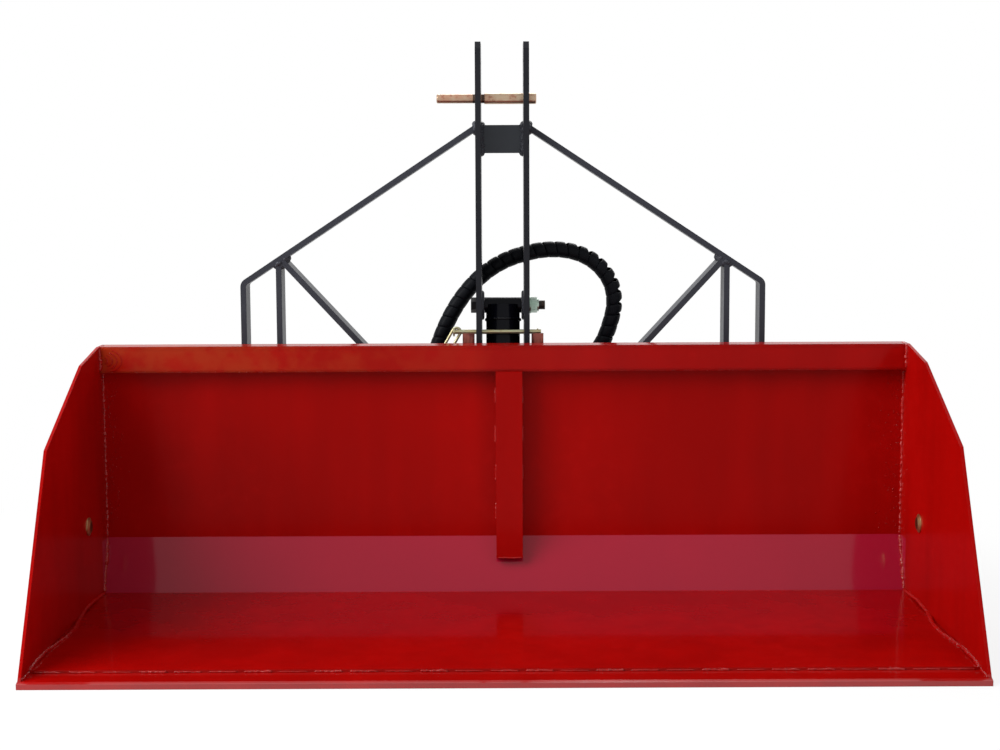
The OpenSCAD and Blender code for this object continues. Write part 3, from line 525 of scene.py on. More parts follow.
def run(start, end, out, radius, **options):
    """A straight bead from start to end, whose crown points out."""
    return [start, end], out, radius, options


def both_sides(runs):
    """The runs and their mirror images across the middle."""
    flip = np.array([-1.0, 1, 1])
    return runs + [(np.asarray(p) * flip, np.asarray(o) * flip, r, dict(q)) for p, o, r, q in runs]


def circle_run(centre, axis, radius):
    """48 points of a circle about an axis: centre + radius * (cos(a) * u + sin(a) * v)."""
    count = 48
    axis = np.asarray(axis, float) / np.linalg.norm(axis)
    helper = np.array([0.0, 0, 1]) if abs(axis[2]) < 0.9 else np.array([1.0, 0, 0])
    u = np.cross(axis, helper)
    u /= np.linalg.norm(u)
    v = np.cross(axis, u)
    a = TAU * np.arange(count)[:, None] / count
    return np.asarray(centre) + radius * (np.cos(a) * u + np.sin(a) * v)


def below_bolt(s, v=0.0):
    """Point at a distance s below the hanging bolt along the cylinder's axis and v behind it."""
    depth = HANG[0] - s * math.sin(LEAN) + v * math.cos(LEAN)
    return at(0, depth, HANG[1] - s * math.cos(LEAN) - v * math.sin(LEAN))


CYLINDER_AXIS = np.array([0, math.sin(LEAN), math.cos(LEAN)])


def drops_piece(name, places, normals, sizes, body, material, slot):
    """Spatter: each drop is a dome of 3 rings of 8 points and a pole, flattened along its
    normal."""
    rings, around, flat = 3, 8, 0.7
    u = np.cross(normals, [0.31, 0.52, 0.79])
    u /= np.linalg.norm(u, axis=1)[:, None]
    v = np.cross(normals, u)
    a = TAU * np.arange(around) / around
    lift = np.array([0.0, 0.45, 0.8])
    wide = np.sqrt(1 - lift ** 2)
    ring = (wide[None, :, None, None] * (np.cos(a)[None, None, :, None] * u[:, None, None]
            + np.sin(a)[None, None, :, None] * v[:, None, None])
            + flat * lift[None, :, None, None] * normals[:, None, None])
    ring = places[:, None, None] + sizes[:, None, None, None] * ring
    pole = places + flat * sizes[:, None] * normals
    points = np.concatenate([ring.reshape(len(places), rings * around, 3), pole[:, None]], 1)
    k = np.arange(around)
    top = (rings - 1) * around
    cap = np.stack([top + k, top + (k + 1) % around, np.full(around, rings * around)], 1)
    shift = (np.arange(len(places)) * (rings * around + 1))[:, None, None]
    faces = [(grid_faces(rings, around)[None] + shift).reshape(-1, 4),
             (cap[None] + shift).reshape(-1, 3)]
    return mesh_piece(name, points.reshape(-1, 3), faces, body, material, slot)


# Hoses: the route of the part's source, in metres as (right, depth, height)

BUNDLE = np.array([
    (0.100, 0.730, 0.376), (0.130, 0.730, 0.383), (0.158, 0.730, 0.401), (0.180, 0.730, 0.428),
    (0.194, 0.730, 0.462), (0.202, 0.730, 0.499), (0.197, 0.730, 0.535), (0.178, 0.730, 0.565),
    (0.150, 0.730, 0.586), (0.115, 0.730, 0.597), (0.075, 0.730, 0.598), (0.035, 0.730, 0.590),
    (0.000, 0.730, 0.577), (-0.032, 0.730, 0.557), (-0.060, 0.730, 0.530), (-0.084, 0.730, 0.498),
    (-0.104, 0.730, 0.461), (-0.120, 0.730, 0.420), (-0.133, 0.730, 0.375), (-0.144, 0.730, 0.320),
    (-0.153, 0.730, 0.262), (-0.162, 0.730, 0.204), (-0.173, 0.730, 0.148), (-0.190, 0.730, 0.098),
    (-0.217, 0.730, 0.055), (-0.256, 0.730, 0.028), (-0.300, 0.730, 0.017)])
HOSE_SIDE = np.array([0, 0.006, 0])
LEAD_A = np.array([(0.050, 0.724, 0.390), (0.075, 0.724, 0.387)])
LEAD_B = np.array([(0.050, 0.736, 0.354), (0.075, 0.736, 0.364)])
TAIL_A = np.array([(-0.332, 0.722, 0.016), (-0.366, 0.716, 0.015), (-0.400, 0.715, 0.015)])
TAIL_B = np.array([(-0.332, 0.738, 0.016), (-0.366, 0.744, 0.015), (-0.400, 0.745, 0.015)])


def smooth_route(points, count):
    """Catmull-Rom curve through the points, followed at an even pace of their chord lengths."""
    p = np.asarray(points) - [0, HALF_DEPTH, 0]
    lengths = np.concatenate([[0], np.cumsum(np.linalg.norm(np.diff(p, axis=0), axis=1))])
    s = np.linspace(0, lengths[-1], count)
    i = np.clip(np.searchsorted(lengths, s, side="right") - 1, 0, len(p) - 2)
    t = ((s - lengths[i]) / (lengths[i + 1] - lengths[i]))[:, None]
    a, b = p[np.maximum(i - 1, 0)], p[i]
    c, d = p[i + 1], p[np.minimum(i + 2, len(p) - 1)]
    bend = (2 * a - 5 * b + 4 * c - d) * t ** 2 + (3 * b - a - 3 * c + d) * t ** 3
    return (2 * b + (c - a) * t + bend) / 2


def route_frame(line):
    """Unit vectors along a line, sideways (as near the Y axis as can be) and up from it."""
    ahead = np.gradient(line, axis=0)
    ahead /= np.linalg.norm(ahead, axis=1)[:, None]
    side = np.array([0, 1.0, 0]) - ahead[:, 1:2] * ahead
    side /= np.linalg.norm(side, axis=1)[:, None]
    return ahead, side, np.cross(ahead, side)


def hose_piece(name, points, hoses, material):
    """Hose: rings of 14 points round its route, with a faint swell every 3 mm from the braid,
    closed at both ends."""
    line = smooth_route(points, 700)
    ahead, side, up = route_frame(line)
    columns = 14
    angle = TAU * np.arange(columns) / columns
    s = np.concatenate([[0], np.cumsum(np.linalg.norm(np.diff(line, axis=0), axis=1))])
    radius = hoses.hose_diameter / 2 * (1 + 0.006 * np.cos(TAU * s / 0.003))
    cosine, sine = np.cos(angle)[None, :, None], np.sin(angle)[None, :, None]
    ring = cosine * side[:, None] + sine * up[:, None]
    spots = (line[:, None] + radius[:, None, None] * ring).reshape(-1, 3)
    rows = len(line)
    k = np.arange(columns)
    faces = [grid_faces(rows, columns), k[None, ::-1], (rows - 1) * columns + k[None, :]]
    piece = mesh_piece(name, spots, faces, "frame", material, "black_rubber")
    return piece, line, float(s[-1])


def guard_piece(hoses, material):
    """Spiral guard: a strip wound round the bundle. At turn angle a its middle lies at
    distance turn * a / (2 pi) along the route; across it the distance changes by the strip's
    width, which falls by up to 0.42 where the bend stretches the outside, so that gaps open.
    Its closed section has 12 points: 7 across the crowned outer face and 5 across the inner."""
    line = smooth_route(BUNDLE, 2400)
    ahead, side, up = route_frame(line)
    s = np.concatenate([[0], np.cumsum(np.linalg.norm(np.diff(line, axis=0), axis=1))])
    bend = np.gradient(ahead, s, axis=0)
    turns = round(s[-1] / hoses.turn)
    per_turn = 30
    a = np.linspace(0, TAU * turns, turns * per_turn + 1)
    middle = s[-1] * (0.012 + 0.976 * a / a[-1])
    across = np.array([-1, -0.86, -0.45, 0, 0.45, 0.86, 1, 0.93, 0.5, 0, -0.5, -0.93])
    wall = 0.0018
    depth = np.array([0.0009, 0.0003, 0, 0, 0, 0.0003, 0.0009] + [wall] * 5)
    radius = hoses.guard_radius - depth

    def look(values, where):
        """Values of the route at distances along it."""
        return np.stack([np.interp(where, s, values[:, c]) for c in range(3)], -1)

    radial = np.cos(a)[:, None] * look(side, middle) + np.sin(a)[:, None] * look(up, middle)
    stretch = 1 - hoses.guard_radius * (look(bend, middle) * radial).sum(-1)
    tight = np.clip((stretch - 1.05) / 0.08, 0, 1)
    uneven = 1 + 0.03 * wander(middle, 3.1, 0.05)
    half = hoses.turn * hoses.strip_share / 2 * uneven * (1 - 0.42 * tight)
    where = np.clip(middle[:, None] + across[None] * half[:, None], 0, s[-1])
    cosine, sine = np.cos(a)[:, None, None], np.sin(a)[:, None, None]
    ring = cosine * look(side, where) + sine * look(up, where)
    spots = (look(line, where) + radius[None, :, None] * ring).reshape(-1, 3)
    rows, columns = where.shape
    k = np.arange(columns)
    faces = [grid_faces(rows, columns)[:, ::-1], k[None, :], (rows - 1) * columns + k[None, ::-1]]
    return mesh_piece("hose_guard_wrap", spots, faces, "frame", material, "black_rubber")


# Operators


def coat(nodes, material):
    """Gives the material to each CAD node of that name."""
    for name in nodes:
        mesh = frame["nodes"][name].data
        mesh.materials.clear()
        mesh.materials.append(material)


def named(*stems):
    """CAD nodes whose name starts with one of the stems."""
    return [n for n in frame["nodes"] if n.startswith(stems)]


def weld_settings(scene):
    """Settings of the welds and of the paint, and the radius of an ordinary bead."""
    welds = scene.transport_welds
    return welds, scene.transport_paint, welds.bead


def stitches(start, end, count, share):
    """Ends of short beads along a line: count equal pieces, of which each bead fills a share."""
    start, end = np.asarray(start), np.asarray(end)
    cuts = (np.arange(count)[:, None] + [0.5 - share / 2, 0.5 + share / 2]) / count
    return [[start + (end - start) * a, start + (end - start) * b] for a, b in cuts]


class TRANSPORTBOX_OT_paint_box(bpy.types.Operator):
    """Sprays the box red"""
    bl_idname = "transport_box.paint_box"
    bl_label = "Paint the box"

    def execute(self, context):
        nodes = frame["record"]["behaviour"]["bodies"]["box"]
        paint = context.scene.transport_paint
        coat(nodes, box_enamel(paint))
        tube = enamel("Red enamel on tube", tuple(paint.box_red), paint, coat=0.1, specular=0.03,
                      corner=paint.tube_round)
        # Towards its left end the tube is a warmer red, in patches
        left = (1 - tube.axis("X").step(-0.62, 0.2)) * (0.25 + tube.noise(24, 5).step(0.38, 0.64))
        tube.set(Base_Color=tube.mix(left * 0.62, tube.tone, (0.30, 0.026, 0.006)))
        coat(["top_tube"], tube.material)
        rib = enamel("Red enamel on stiffener", tuple(paint.box_red), paint, coat=0.04,
                     specular=0.025)
        coat(["centre_stiffener"], rib.material)
        primer = enamel("Red primer", tuple(paint.primer_red), paint, gloss=0.34,
                        light_share=1.6, coat=0.2, specular=0.2)
        # Painted highlight: paler streaks along Z stand in for the lugs' shine
        highlight_streaks = primer.noise(52, 4, primer.stretched(1.6, 1.6, 0.5)).step(0.46, 0.62)
        primer.set(Base_Color=primer.mix(highlight_streaks * 0.8, primer.tone, (0.27, 0.075, 0.055)))
        coat(named("stop_lug"), primer.material)
        return {"FINISHED"}


class TRANSPORTBOX_OT_paint_frame(bpy.types.Operator):
    """Sprays the frame grey and the cylinder black"""
    bl_idname = "transport_box.paint_frame"
    bl_label = "Paint the frame and the cylinder"

    def execute(self, context):
        paint = context.scene.transport_paint
        grey = enamel("Grey enamel", tuple(paint.frame_grey), paint, gloss=0.24, light_share=1.0,
                      coat=0.05, specular=0.07)
        black = enamel("Black enamel", tuple(paint.cylinder_black), paint, gloss=0.2, coat=0.09,
                       specular=0.06)
        coat(named("upright", "beam", "bridge_plate", "side_arm", "boss_discs"), grey.material)
        # Painted light: a paler copy of the frame's grey makes the cross plate look lit
        plate = enamel("Grey enamel on plate with painted light", tuple(paint.lit_plate_grey), paint, gloss=0.24,
                       light_share=1.0, coat=0.09, specular=0.1)
        coat(["cross_plate"], plate.material)
        # Painted light: a paler copy of the frame's grey makes the thin bars look lit
        bars = enamel("Grey enamel on bars with painted light", tuple(paint.lit_bar_grey), paint, gloss=0.28,
                      light_share=1.0, coat=0.03, specular=0.045)
        coat(named("diagonal_bar", "outer_link_bar", "inner_link_bar", "brace"), bars.material)
        cylinder = ("cross_tube", "base_cap", "barrel", "gland", "base_pipe", "rod_pipe")
        coat(named(*cylinder), black.material)
        return {"FINISHED"}


class TRANSPORTBOX_OT_plate_hardware(bpy.types.Operator):
    """Zinc-plates the pins, bolts and fittings and polishes the rod"""
    bl_idname = "transport_box.plate_hardware"
    bl_label = "Plate the hardware"

    def execute(self, context):
        yellow = ((0.38, 0.34, 0.19), (0.34, 0.35, 0.24), (0.26, 0.20, 0.12))
        coat(named("pivot_washers", "pivot_nuts", "foot_pin", "lock_rod", "link_pin"),
             plating("Yellow zinc", yellow, 0.24).material)
        brown = ((0.20, 0.14, 0.065), (0.13, 0.095, 0.05), (0.06, 0.035, 0.025))
        bolt = plating("Brown zinc bolt", brown, 0.3, thread_axis="X", thread_from=0.734)
        y, z = bolt.axis("Y") - (PIVOT[0] - HALF_DEPTH), bolt.axis("Z") - PIVOT[1]
        # Painted highlight: the cup head is paler outside about 9.5 mm from the bolt's axis
        rim_highlight = (y * y + z * z).step(0.0085 ** 2, 0.0105 ** 2)
        bolt.set(Base_Color=bolt.mix(rim_highlight * 0.85, bolt.tone, (0.52, 0.38, 0.18)))
        coat(["pivot_bolts"], bolt.material)
        copper = ((0.45, 0.26, 0.175), (0.48, 0.37, 0.26), (0.28, 0.09, 0.06))
        pin = plating("Coppery zinc", copper, 0.26)
        x = pin.axis("X")
        # Painted shade: dark bands round the pin at its groove and at its neck
        groove_shade = 1 - abs(x - PIN_GROOVE_X).step(0.0012, 0.0022)
        neck = 1 - abs(x - PIN_NECK_X).step(0.0024, 0.0036)
        pin.set(Base_Color=pin.mix((groove_shade + neck) * 0.9, pin.tone, (0.03, 0.022, 0.02)))
        coat(["top_link_pin"], pin.material)
        pale = ((0.24, 0.33, 0.27), (0.44, 0.52, 0.46), (0.11, 0.14, 0.12))
        coat(["cylinder_washer", "cylinder_nut", "port_elbows", "foot_clips", "couplers"],
             plating("Pale zinc", pale, 0.2).material)
        dark = ((0.10, 0.07, 0.055), (0.05, 0.045, 0.045), (0.16, 0.08, 0.05))
        hung = plating("Blackened bolt", dark, 0.34, thread_axis="X", thread_from=0.0655)
        head = 1 - hung.axis("X").step(-0.02, 0)
        hung.set(Base_Color=hung.mix(head * 0.9, hung.tone, (0.008, 0.008, 0.009)))
        coat(["cylinder_bolt"], hung.material)
        coat(["piston", "piston_rod", "rod_eye"], polished("Chromed steel"))
        seal = rubber("Seal rubber", (0.012, 0.012, 0.014), 0.4, 0.00001)
        coat(["wiper_seal", "piston_seal"], seal)
        return {"FINISHED"}


class TRANSPORTBOX_OT_weld_box(bpy.types.Operator):
    """Lays the weld beads and spatter of the box"""
    bl_idname = "transport_box.weld_box"
    bl_label = "Weld the box"

    def execute(self, context):
        welds, paint, r = weld_settings(context.scene)
        steel = enamel("Red enamel on welds", tuple(paint.box_red), paint, weld=True, gloss=0.14,
                       coat=0.4, specular=0.1).material
        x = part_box("top_tube")[1].x
        runs = both_sides(self.side_runs(r, x)) + self.middle_runs(r, x) + self.outer_runs(r)
        beads_piece("box_welds", runs, "box", steel, "red_paint", welds)
        self.spatter(welds, steel, x)
        return {"FINISHED"}

    def side_runs(self, r, x):
        """Beads of the right side panel, the tube's right end and the right pivot plate. The
        floor's seam sways by up to 9 mm onto the floor or up the panel: two sines multiplied."""
        tube_lo, tube_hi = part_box("top_tube")
        front, wall, bend = tube_lo.y + HALF_DEPTH, WALL_DEPTH, BEND_DEPTH
        inward, lumpy = [-1, -1, 0.4], {"lumpy": 0.42}
        t = np.linspace(0, 1, 40)
        sway = 0.009 * np.sin(TAU * (t * 1.25 + 0.05)) * np.sin(math.pi * t)
        depth = bend + (SHEET_FRONT_DEPTH - bend) * t
        seam = np.stack([x + np.minimum(sway, 0), depth - HALF_DEPTH,
                         FLOOR_Z + np.maximum(sway, 0)], 1)
        plate = [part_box("pivot_plate_right")[0].x, PIVOT[0] - HALF_DEPTH, PIVOT[1]]
        return [
            run(at(x, wall, FACET_Z), at(x, wall, tube_lo.z), inward, r * 0.85, **lumpy),
            run(at(x, bend, FLOOR_Z), at(x, wall, FACET_Z), inward, r * 1.1, **lumpy),
            (seam, [-1, 0, 1], r * 0.9, {"lumpy": 0.2}),
            run(at(x, SHEET_FRONT_DEPTH, BLADE_SEAM_Z), at(x, *BLADE_SEAM_END), [-1, 0, 1],
                r * 0.6),
            run(at(x, front, tube_lo.z + 0.002), at(x, front, tube_hi.z), [-1, -1, 0], r * 1.1,
                **lumpy),
            run(at(x, front + 0.002, tube_lo.z), at(x, wall - 0.001, tube_lo.z), [-1, 0, -1],
                r * 0.8, **lumpy),
            run(at(x, front, tube_hi.z - 0.001), at(x, front + 0.038, tube_hi.z - 0.001),
                [-1, 0, 0.3], r * 0.5),
            run(at(x, wall + SHEET_T, FACET_Z), at(x, wall + SHEET_T, tube_lo.z), [-1, 1, 0],
                r * 0.8),
            (circle_run(plate, [1, 0, 0], PLATE_SEAM), [1, 0, 0], r * 0.8, {"closed": True}),
        ]

    def middle_runs(self, r, x):
        """Beads of the stiffener, the tube, the blade and the stop lugs, and curved ridges of
        paint at the tube's left end."""
        tube_lo, tube_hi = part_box("top_tube")
        rib_lo, rib_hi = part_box("centre_stiffener")
        wall, back = WALL_DEPTH, WALL_DEPTH + SHEET_T
        front, foot = rib_lo.y + HALF_DEPTH + 0.001, rib_lo.z + 0.001
        runs = [
            run(at(rib_lo.x, RIB_FOOT_DEPTH, foot), at(rib_hi.x, RIB_FOOT_DEPTH, foot),
                [0, -1, -0.3], r * 0.75),
            run(at(rib_lo.x + 0.002, front, foot), at(rib_hi.x - 0.002, front, foot),
                [0, -1, -0.4], r * 0.45),
            run(at(-BACK_SEAM_X, back, tube_lo.z), at(BACK_SEAM_X, back, tube_lo.z), [0, 1, -1],
                r * 0.8)]
        low, high = FACET_Z + 0.01, tube_lo.z - 0.01
        for edge, out in ((rib_lo.x, -1), (rib_hi.x, 1)):
            for ends in stitches(at(edge, wall, low), at(edge, wall, high), 4, 0.45):
                runs.append(run(*ends, [out, -1, 0], r * 0.7))
        below = [at(edge, wall, tube_lo.z) for edge in (-LOW_SEAM_X, LOW_SEAM_X)]
        for ends in stitches(*below, 9, 0.3):
            runs.append(run(*ends, [0, -1, -1], r * 0.6))
        corners = [at(edge, SHEET_FRONT_DEPTH - 0.0005, BLADE_SEAM_Z)
                   for edge in (0.001 - x, x - 0.001)]
        for seed, ends in enumerate(stitches(*corners, 27, 0.8)):
            size = r * (0.44 + 0.14 * math.sin(2.4 * seed))
            runs.append(run(*ends, [0, -1, 1], size, lumpy=0.3))
        arc = np.linspace(-1.0, 1.0, 24)
        for turn in range(4):
            reach = 0.012 + 0.008 * turn
            ridge = np.stack([tube_lo.x + 0.002 + reach * np.cos(arc), np.full(24, tube_lo.y),
                              tube_lo.z + 0.021 + reach * 0.6 * np.sin(arc)], 1)
            runs.append((ridge, [0, -1, 0], r * 0.22, {"lumpy": 0.35}))
        for node in ("stop_lug_left", "stop_lug_right"):
            lo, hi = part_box(node)
            for z, out in ((lo.z, -1), (lo.z + 0.01, 1)):
                runs.append(run((lo.x, tube_hi.y, z), (hi.x, tube_hi.y, z), [0, 1, out], r * 0.7))
        return runs

    def outer_runs(self, r):
        """Beads of the runners under the floor and of the lugs behind the sloping strip."""
        runs = []
        for node in ("runner_left", "runner_centre", "runner_right"):
            lo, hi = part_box(node)
            for edge, out in ((lo.x, -1), (hi.x, 1)):
                corners = [at(edge, depth, UNDER_Z) for depth in RUNNER_SEAM]
                for ends in stitches(*corners, 4, 0.4):
                    runs.append(run(*ends, [out, 0, -1], r * 0.7))
        for node in ("cylinder_lug_left", "cylinder_lug_right"):
            lo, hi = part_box(node)
            for edge, out in ((lo.x, -1), (hi.x, 1)):
                ends = [at(edge, *place) for place in LUG_SEAM]
                runs.append(run(*ends, [out, 1, -0.4], r * 0.7))
        return runs

    def spatter(self, welds, steel, x):
        """Scatters drops over the wall and the side panels, thickest beside the corner welds."""
        random = np.random.default_rng(11)
        count = welds.spatter
        side = np.where(random.random(count) < 0.5, -1.0, 1.0)
        off = 0.006 + random.exponential(0.012, count)
        high = random.uniform(FACET_Z + 0.01, SPATTER_TOP_Z, count)
        on_wall = random.random(count) < 0.55
        depth = WALL_DEPTH - HALF_DEPTH
        places = np.where(
            on_wall[:, None],
            np.stack([side * (x - off), np.full(count, depth), high], 1),
            np.stack([side * x, depth - off, high], 1))
        inward = np.stack([-side, 0 * side, 0 * side], 1)
        normals = np.where(on_wall[:, None], [0, -1.0, 0], inward)
        sizes = random.uniform(0.0005, 0.0013, count)
        drops_piece("box_spatter", places, normals, sizes, "box", steel, "red_paint")


class TRANSPORTBOX_OT_weld_frame(bpy.types.Operator):
    """Lays the weld beads of the frame"""
    bl_idname = "transport_box.weld_frame"
    bl_label = "Weld the frame"

    def execute(self, context):
        welds, paint, r = weld_settings(context.scene)
        # Partly painted light: the beads are about three times paler than the frame, partly their
        # own paler look, partly to make the fillets look lit
        grey = tuple(3 * c + 0.006 for c in paint.frame_grey)
        steel = enamel("Grey enamel on welds with painted light", grey, paint, weld=True, gloss=0.34, coat=0.08,
                       specular=0.08).material
        runs = both_sides(self.right_runs(r))
        beads_piece("frame_welds", runs, "frame", steel, "frame_steel", welds)
        return {"FINISHED"}

    def right_runs(self, r):
        """Beads of the frame's right half, placed by the bars' bounds, slopes and thickness."""
        up_lo, up_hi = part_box("upright_right")
        cross_lo, cross_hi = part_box("cross_plate")
        beam_lo, beam_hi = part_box("beam_right")
        inner_lo, inner_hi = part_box("inner_link_bar_right")
        outer_lo, outer_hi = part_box("outer_link_bar_right")
        front, back = inner_lo.y, inner_hi.y
        half = HALF_BAR / math.cos(DIAGONAL_SLOPE)
        brace_half = HALF_BAR / math.cos(BRACE_SLOPE)
        root, foot = DIAGONAL_ROOT_Z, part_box("brace_right")[0].z + brace_half
        link_bars = ((inner_lo, inner_hi), (outer_lo, outer_hi))
        beam_ends = ((up_hi.x, 1, r), (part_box("side_arm_right")[0].x, -1, r * 0.9))

        def low_face(x):
            return root - (x - up_hi.x) * math.tan(DIAGONAL_SLOPE) - half

        def across(x, z, out, size, past=0.0, **options):
            return run((x, front - past, z), (x, back + past, z), out, size, **options)

        runs = []
        for y, out in ((cross_lo.y, -1), (cross_hi.y, 1)):
            runs.append(run((up_lo.x, y, cross_lo.z - 0.005), (up_lo.x, y, cross_hi.z + 0.005),
                            [-1, out, 0], r * 1.5, lumpy=0.3))
        for z, out in ((cross_lo.z, -1), (cross_hi.z, 1)):
            runs.append(run((up_lo.x, cross_lo.y - 0.003, z), (up_lo.x, cross_hi.y + 0.003, z),
                            [-1, 0, out], r * 1.5))
        for z, out in ((root + half, 1), (root - half, -1)):
            runs.append(across(up_hi.x, z, [1, 0, out], r * 1.3, lumpy=0.25))
        for y, out in ((front, -1), (back, 1)):
            runs.append(run((up_hi.x, y, root - half), (up_hi.x, y, root + half),
                            [1, out, 0], r * 1.1))
            runs.append(run((inner_lo.x, y, low_face(inner_lo.x)),
                            (inner_hi.x, y, low_face(inner_hi.x)), [0, out, -0.5], r))
            runs.append(run((up_hi.x, y, foot - brace_half), (up_hi.x, y, foot + brace_half),
                            [1, out, 0], r))
            for lo, hi in link_bars:
                runs.append(run((lo.x, y, beam_hi.z), (hi.x, y, beam_hi.z), [0, out, 1], r))
        for lo, hi in link_bars:
            for x, out in ((lo.x, -1), (hi.x, 1)):
                runs.append(across(x, beam_hi.z, [out, 0, 1], r))
        rise = math.tan(BRACE_SLOPE)
        meet = up_hi.x + (root - half - foot - brace_half) / (rise + math.tan(DIAGONAL_SLOPE))
        under = foot + (inner_lo.x - up_hi.x) * rise - brace_half
        for x, z, side, down in ((inner_hi.x, low_face(inner_hi.x), 1, -1),
                                 (inner_lo.x, under, -1, -1), (meet, low_face(meet), -1, -0.1)):
            runs.append(across(x, z, [side, 0, down], r * 1.7, 0.001, lumpy=0.3))
        for z, out in ((foot + brace_half, 1), (foot - brace_half, -1)):
            runs.append(across(up_hi.x, z, [1, 0, out], r))
        for z, out in ((beam_lo.z, -1), (beam_hi.z, 1)):
            for x, side, size in beam_ends:
                runs.append(run((x, beam_lo.y, z), (x, beam_hi.y, z), [side, 0, out], size))
        for y, out in ((beam_lo.y, -1), (beam_hi.y, 1)):
            for x, side, size in beam_ends:
                runs.append(run((x, y, beam_lo.z), (x, y, beam_hi.z), [side, out, 0], size))
        hang = [up_lo.x - 0.0005, HANG[0] - HALF_DEPTH, HANG[1]]
        runs.append((circle_run(hang, [1, 0, 0], BOSS_SEAM), [-1, 0, 0], r * 0.7,
                     {"closed": True}))
        return runs


class TRANSPORTBOX_OT_weld_cylinder(bpy.types.Operator):
    """Lays the weld beads of the cylinder and of its rod eye"""
    bl_idname = "transport_box.weld_cylinder"
    bl_label = "Weld the cylinder"

    def execute(self, context):
        welds, paint, r = weld_settings(context.scene)
        steel = enamel("Black enamel on welds", tuple(paint.cylinder_black), paint, weld=True,
                       gloss=0.15, coat=0.3, specular=0.1).material
        axis = CYLINDER_AXIS
        runs = [(circle_run(below_bolt(END_SEAM), axis, BARREL_SEAM), axis, r * 0.62,
                 {"closed": True})]
        for s in PORTS:
            for dx in (-BLOCK_HALF, BLOCK_HALF):
                ends = [below_bolt(s + reach, BLOCK_SEAM) + [dx, 0, 0]
                        for reach in (-BLOCK_HALF, BLOCK_HALF)]
                runs.append(run(*ends, [np.sign(dx), 0.6, 0], r * 0.6))
        beads_piece("cylinder_welds", runs, "cylinder", steel, "black_paint", welds)
        bright = polished("Bright weld")
        foot = below_bolt(CYLINDER_LENGTH - END_SEAM)
        neck = [(circle_run(foot, axis, ROD_SEAM), axis, r * 0.5, {"closed": True})]
        beads_piece("rod_weld", neck, "rod", bright, "bright_steel", welds)
        return {"FINISHED"}


class TRANSPORTBOX_OT_lay_hoses(bpy.types.Operator):
    """Lays both hoses and winds the spiral guard round them"""
    bl_idname = "transport_box.lay_hoses"
    bl_label = "Lay the hoses"

    def execute(self, context):
        hoses = context.scene.transport_hoses
        black = rubber("Hose rubber", (0.0045, 0.0048, 0.0056), 0.38, 0.00002)
        tough = rubber("Guard plastic", (0.0036, 0.0042, 0.006), 0.34, 0.000012)
        guard = guard_piece(hoses, tough)
        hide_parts("hose_guard")
        routes = {"hose_a": np.vstack([LEAD_A, BUNDLE - HOSE_SIDE, TAIL_A]),
                  "hose_b": np.vstack([LEAD_B, BUNDLE + HOSE_SIDE, TAIL_B])}
        for node, points in routes.items():
            piece, line, length = hose_piece(node + "_line", points, hoses, black)
            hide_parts(node)
        return {"FINISHED"}


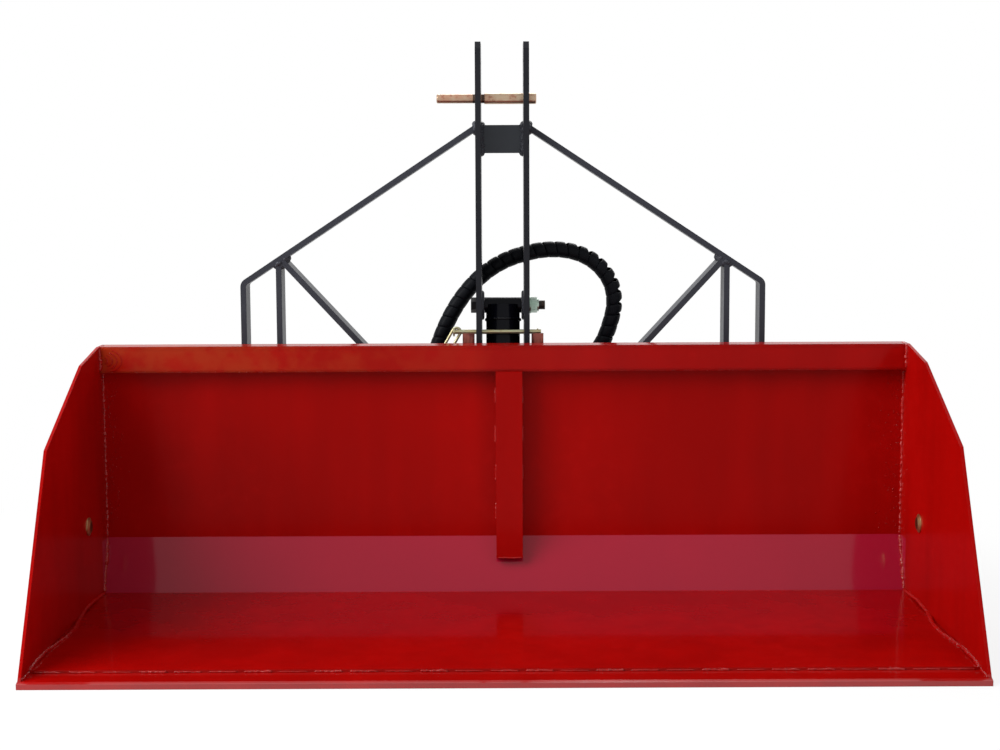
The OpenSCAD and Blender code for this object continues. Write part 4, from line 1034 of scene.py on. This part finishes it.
class TRANSPORTBOX_OT_set_stage(bpy.types.Operator):
    """Sets the camera, the pale floor, the white surroundings and the lamps"""
    bl_idname = "transport_box.set_stage"
    bl_label = "Set the stage"

    def execute(self, context):
        scene = context.scene
        stage = scene.transport_stage
        self.camera(scene, stage)
        self.floor(scene)
        self.world(scene, stage)
        for name, place, aim, size, share in LAMPS:
            self.lamp(scene, name, place, aim, size, stage.key_power * share)
        scene.view_settings.view_transform = "Standard"
        return {"FINISHED"}

    def camera(self, scene, stage):
        data = bpy.data.cameras.new("photo_camera")
        data.sensor_width = 36
        data.lens = stage.lens
        data.shift_x = -0.0024
        data.clip_end = 100
        camera = bpy.data.objects.new("photo_camera", data)
        scene.collection.objects.link(camera)
        camera.rotation_mode = "XYZ"
        camera.location = at(0, -stage.camera_distance, stage.camera_height)
        camera.rotation_euler = (math.pi / 2 - stage.camera_drop, stage.camera_roll, 0)
        scene.camera = camera

    def floor(self, scene):
        """A pale floor, which glows white where it is seen and keeps a part of the shadow near
        the machine."""
        size = 30
        mesh = bpy.data.meshes.new("floor")
        corners = [(-size, -size, 0), (size, -size, 0), (size, size, 0), (-size, size, 0)]
        mesh.from_pydata(corners, [], [(0, 1, 2, 3)])
        finish = Finish("Pale floor", Roughness=0.9, Specular_IOR_Level=0.1)
        grain = finish.noise(14, 3)
        finish.set(Base_Color=finish.mix(grain, (0.80, 0.80, 0.80), (0.84, 0.84, 0.84)))
        seen = finish.seen_directly()
        x, y = finish.axis("X"), finish.axis("Y")
        far = (x * x + y * y * 2).step(0.5, 3.2)
        glow = finish.node("ShaderNodeEmission", None, {"Color": (1, 1, 1), "Strength": 1.0})
        shaded = Number(finish, finish.shader.outputs[0])
        share = seen * (0.82 + far * 0.18)
        mixed = finish.node("ShaderNodeMixShader", None, {0: share, 1: shaded, 2: glow})
        finish.feed(finish.tree.nodes["Material Output"].inputs["Surface"], mixed)
        mesh.materials.append(finish.material)
        floor = bpy.data.objects.new("floor", mesh)
        scene.collection.objects.link(floor)

    def world(self, scene, stage):
        """White where it is seen, and as bright as the sky setting where it lights things."""
        world = bpy.data.worlds.new("White surroundings")
        world.use_nodes = True
        scene.world = world
        nodes = Nodes(world.node_tree)
        background = world.node_tree.nodes["Background"].inputs
        strength = stage.sky_light + nodes.seen_directly() * (1 - stage.sky_light)
        nodes.feed(background["Strength"], strength)
        nodes.feed(background["Color"], (1, 1, 1))

    def lamp(self, scene, name, spot, aim, size, power):
        data = bpy.data.lights.new(name, "AREA")
        data.shape = "DISK"
        data.size = size
        data.energy = power
        lamp = bpy.data.objects.new(name, data)
        scene.collection.objects.link(lamp)
        lamp.location = spot
        towards = Vector(aim) - Vector(spot)
        lamp.rotation_euler = towards.to_track_quat("-Z", "Y").to_euler()


OPERATORS = (
    TRANSPORTBOX_OT_paint_box, TRANSPORTBOX_OT_paint_frame, TRANSPORTBOX_OT_plate_hardware,
    TRANSPORTBOX_OT_weld_box, TRANSPORTBOX_OT_weld_frame, TRANSPORTBOX_OT_weld_cylinder,
    TRANSPORTBOX_OT_lay_hoses, TRANSPORTBOX_OT_set_stage)
SETTINGS = {
    "transport_paint": PaintSettings, "transport_welds": WeldSettings,
    "transport_hoses": HoseSettings, "transport_stage": StageSettings}


class TRANSPORTBOX_PT_panel(bpy.types.Panel):
    """Lists the settings and the operators"""
    bl_label = "Transport box"
    bl_idname = "TRANSPORTBOX_PT_panel"
    bl_space_type = "VIEW_3D"
    bl_region_type = "UI"
    bl_category = "Transport box"

    def draw(self, context):
        for name, group in SETTINGS.items():
            column = self.layout.box().column()
            for setting in group.__annotations__:
                column.prop(getattr(context.scene, name), setting)
        for operator in OPERATORS:
            self.layout.operator(operator.bl_idname)


def register():
    for name, group in SETTINGS.items():
        bpy.utils.register_class(group)
        setattr(bpy.types.Scene, name, bpy.props.PointerProperty(type=group))
    for kind in (*OPERATORS, TRANSPORTBOX_PT_panel):
        bpy.utils.register_class(kind)


def unregister():
    for kind in (TRANSPORTBOX_PT_panel, *reversed(OPERATORS)):
        bpy.utils.unregister_class(kind)
    for name, group in reversed(SETTINGS.items()):
        delattr(bpy.types.Scene, name)
        bpy.utils.unregister_class(group)


def main():
    register()
    for operator in OPERATORS:
        group, call = operator.bl_idname.split(".")
        getattr(getattr(bpy.ops, group), call)()


if __name__ == "__main__":
    main()
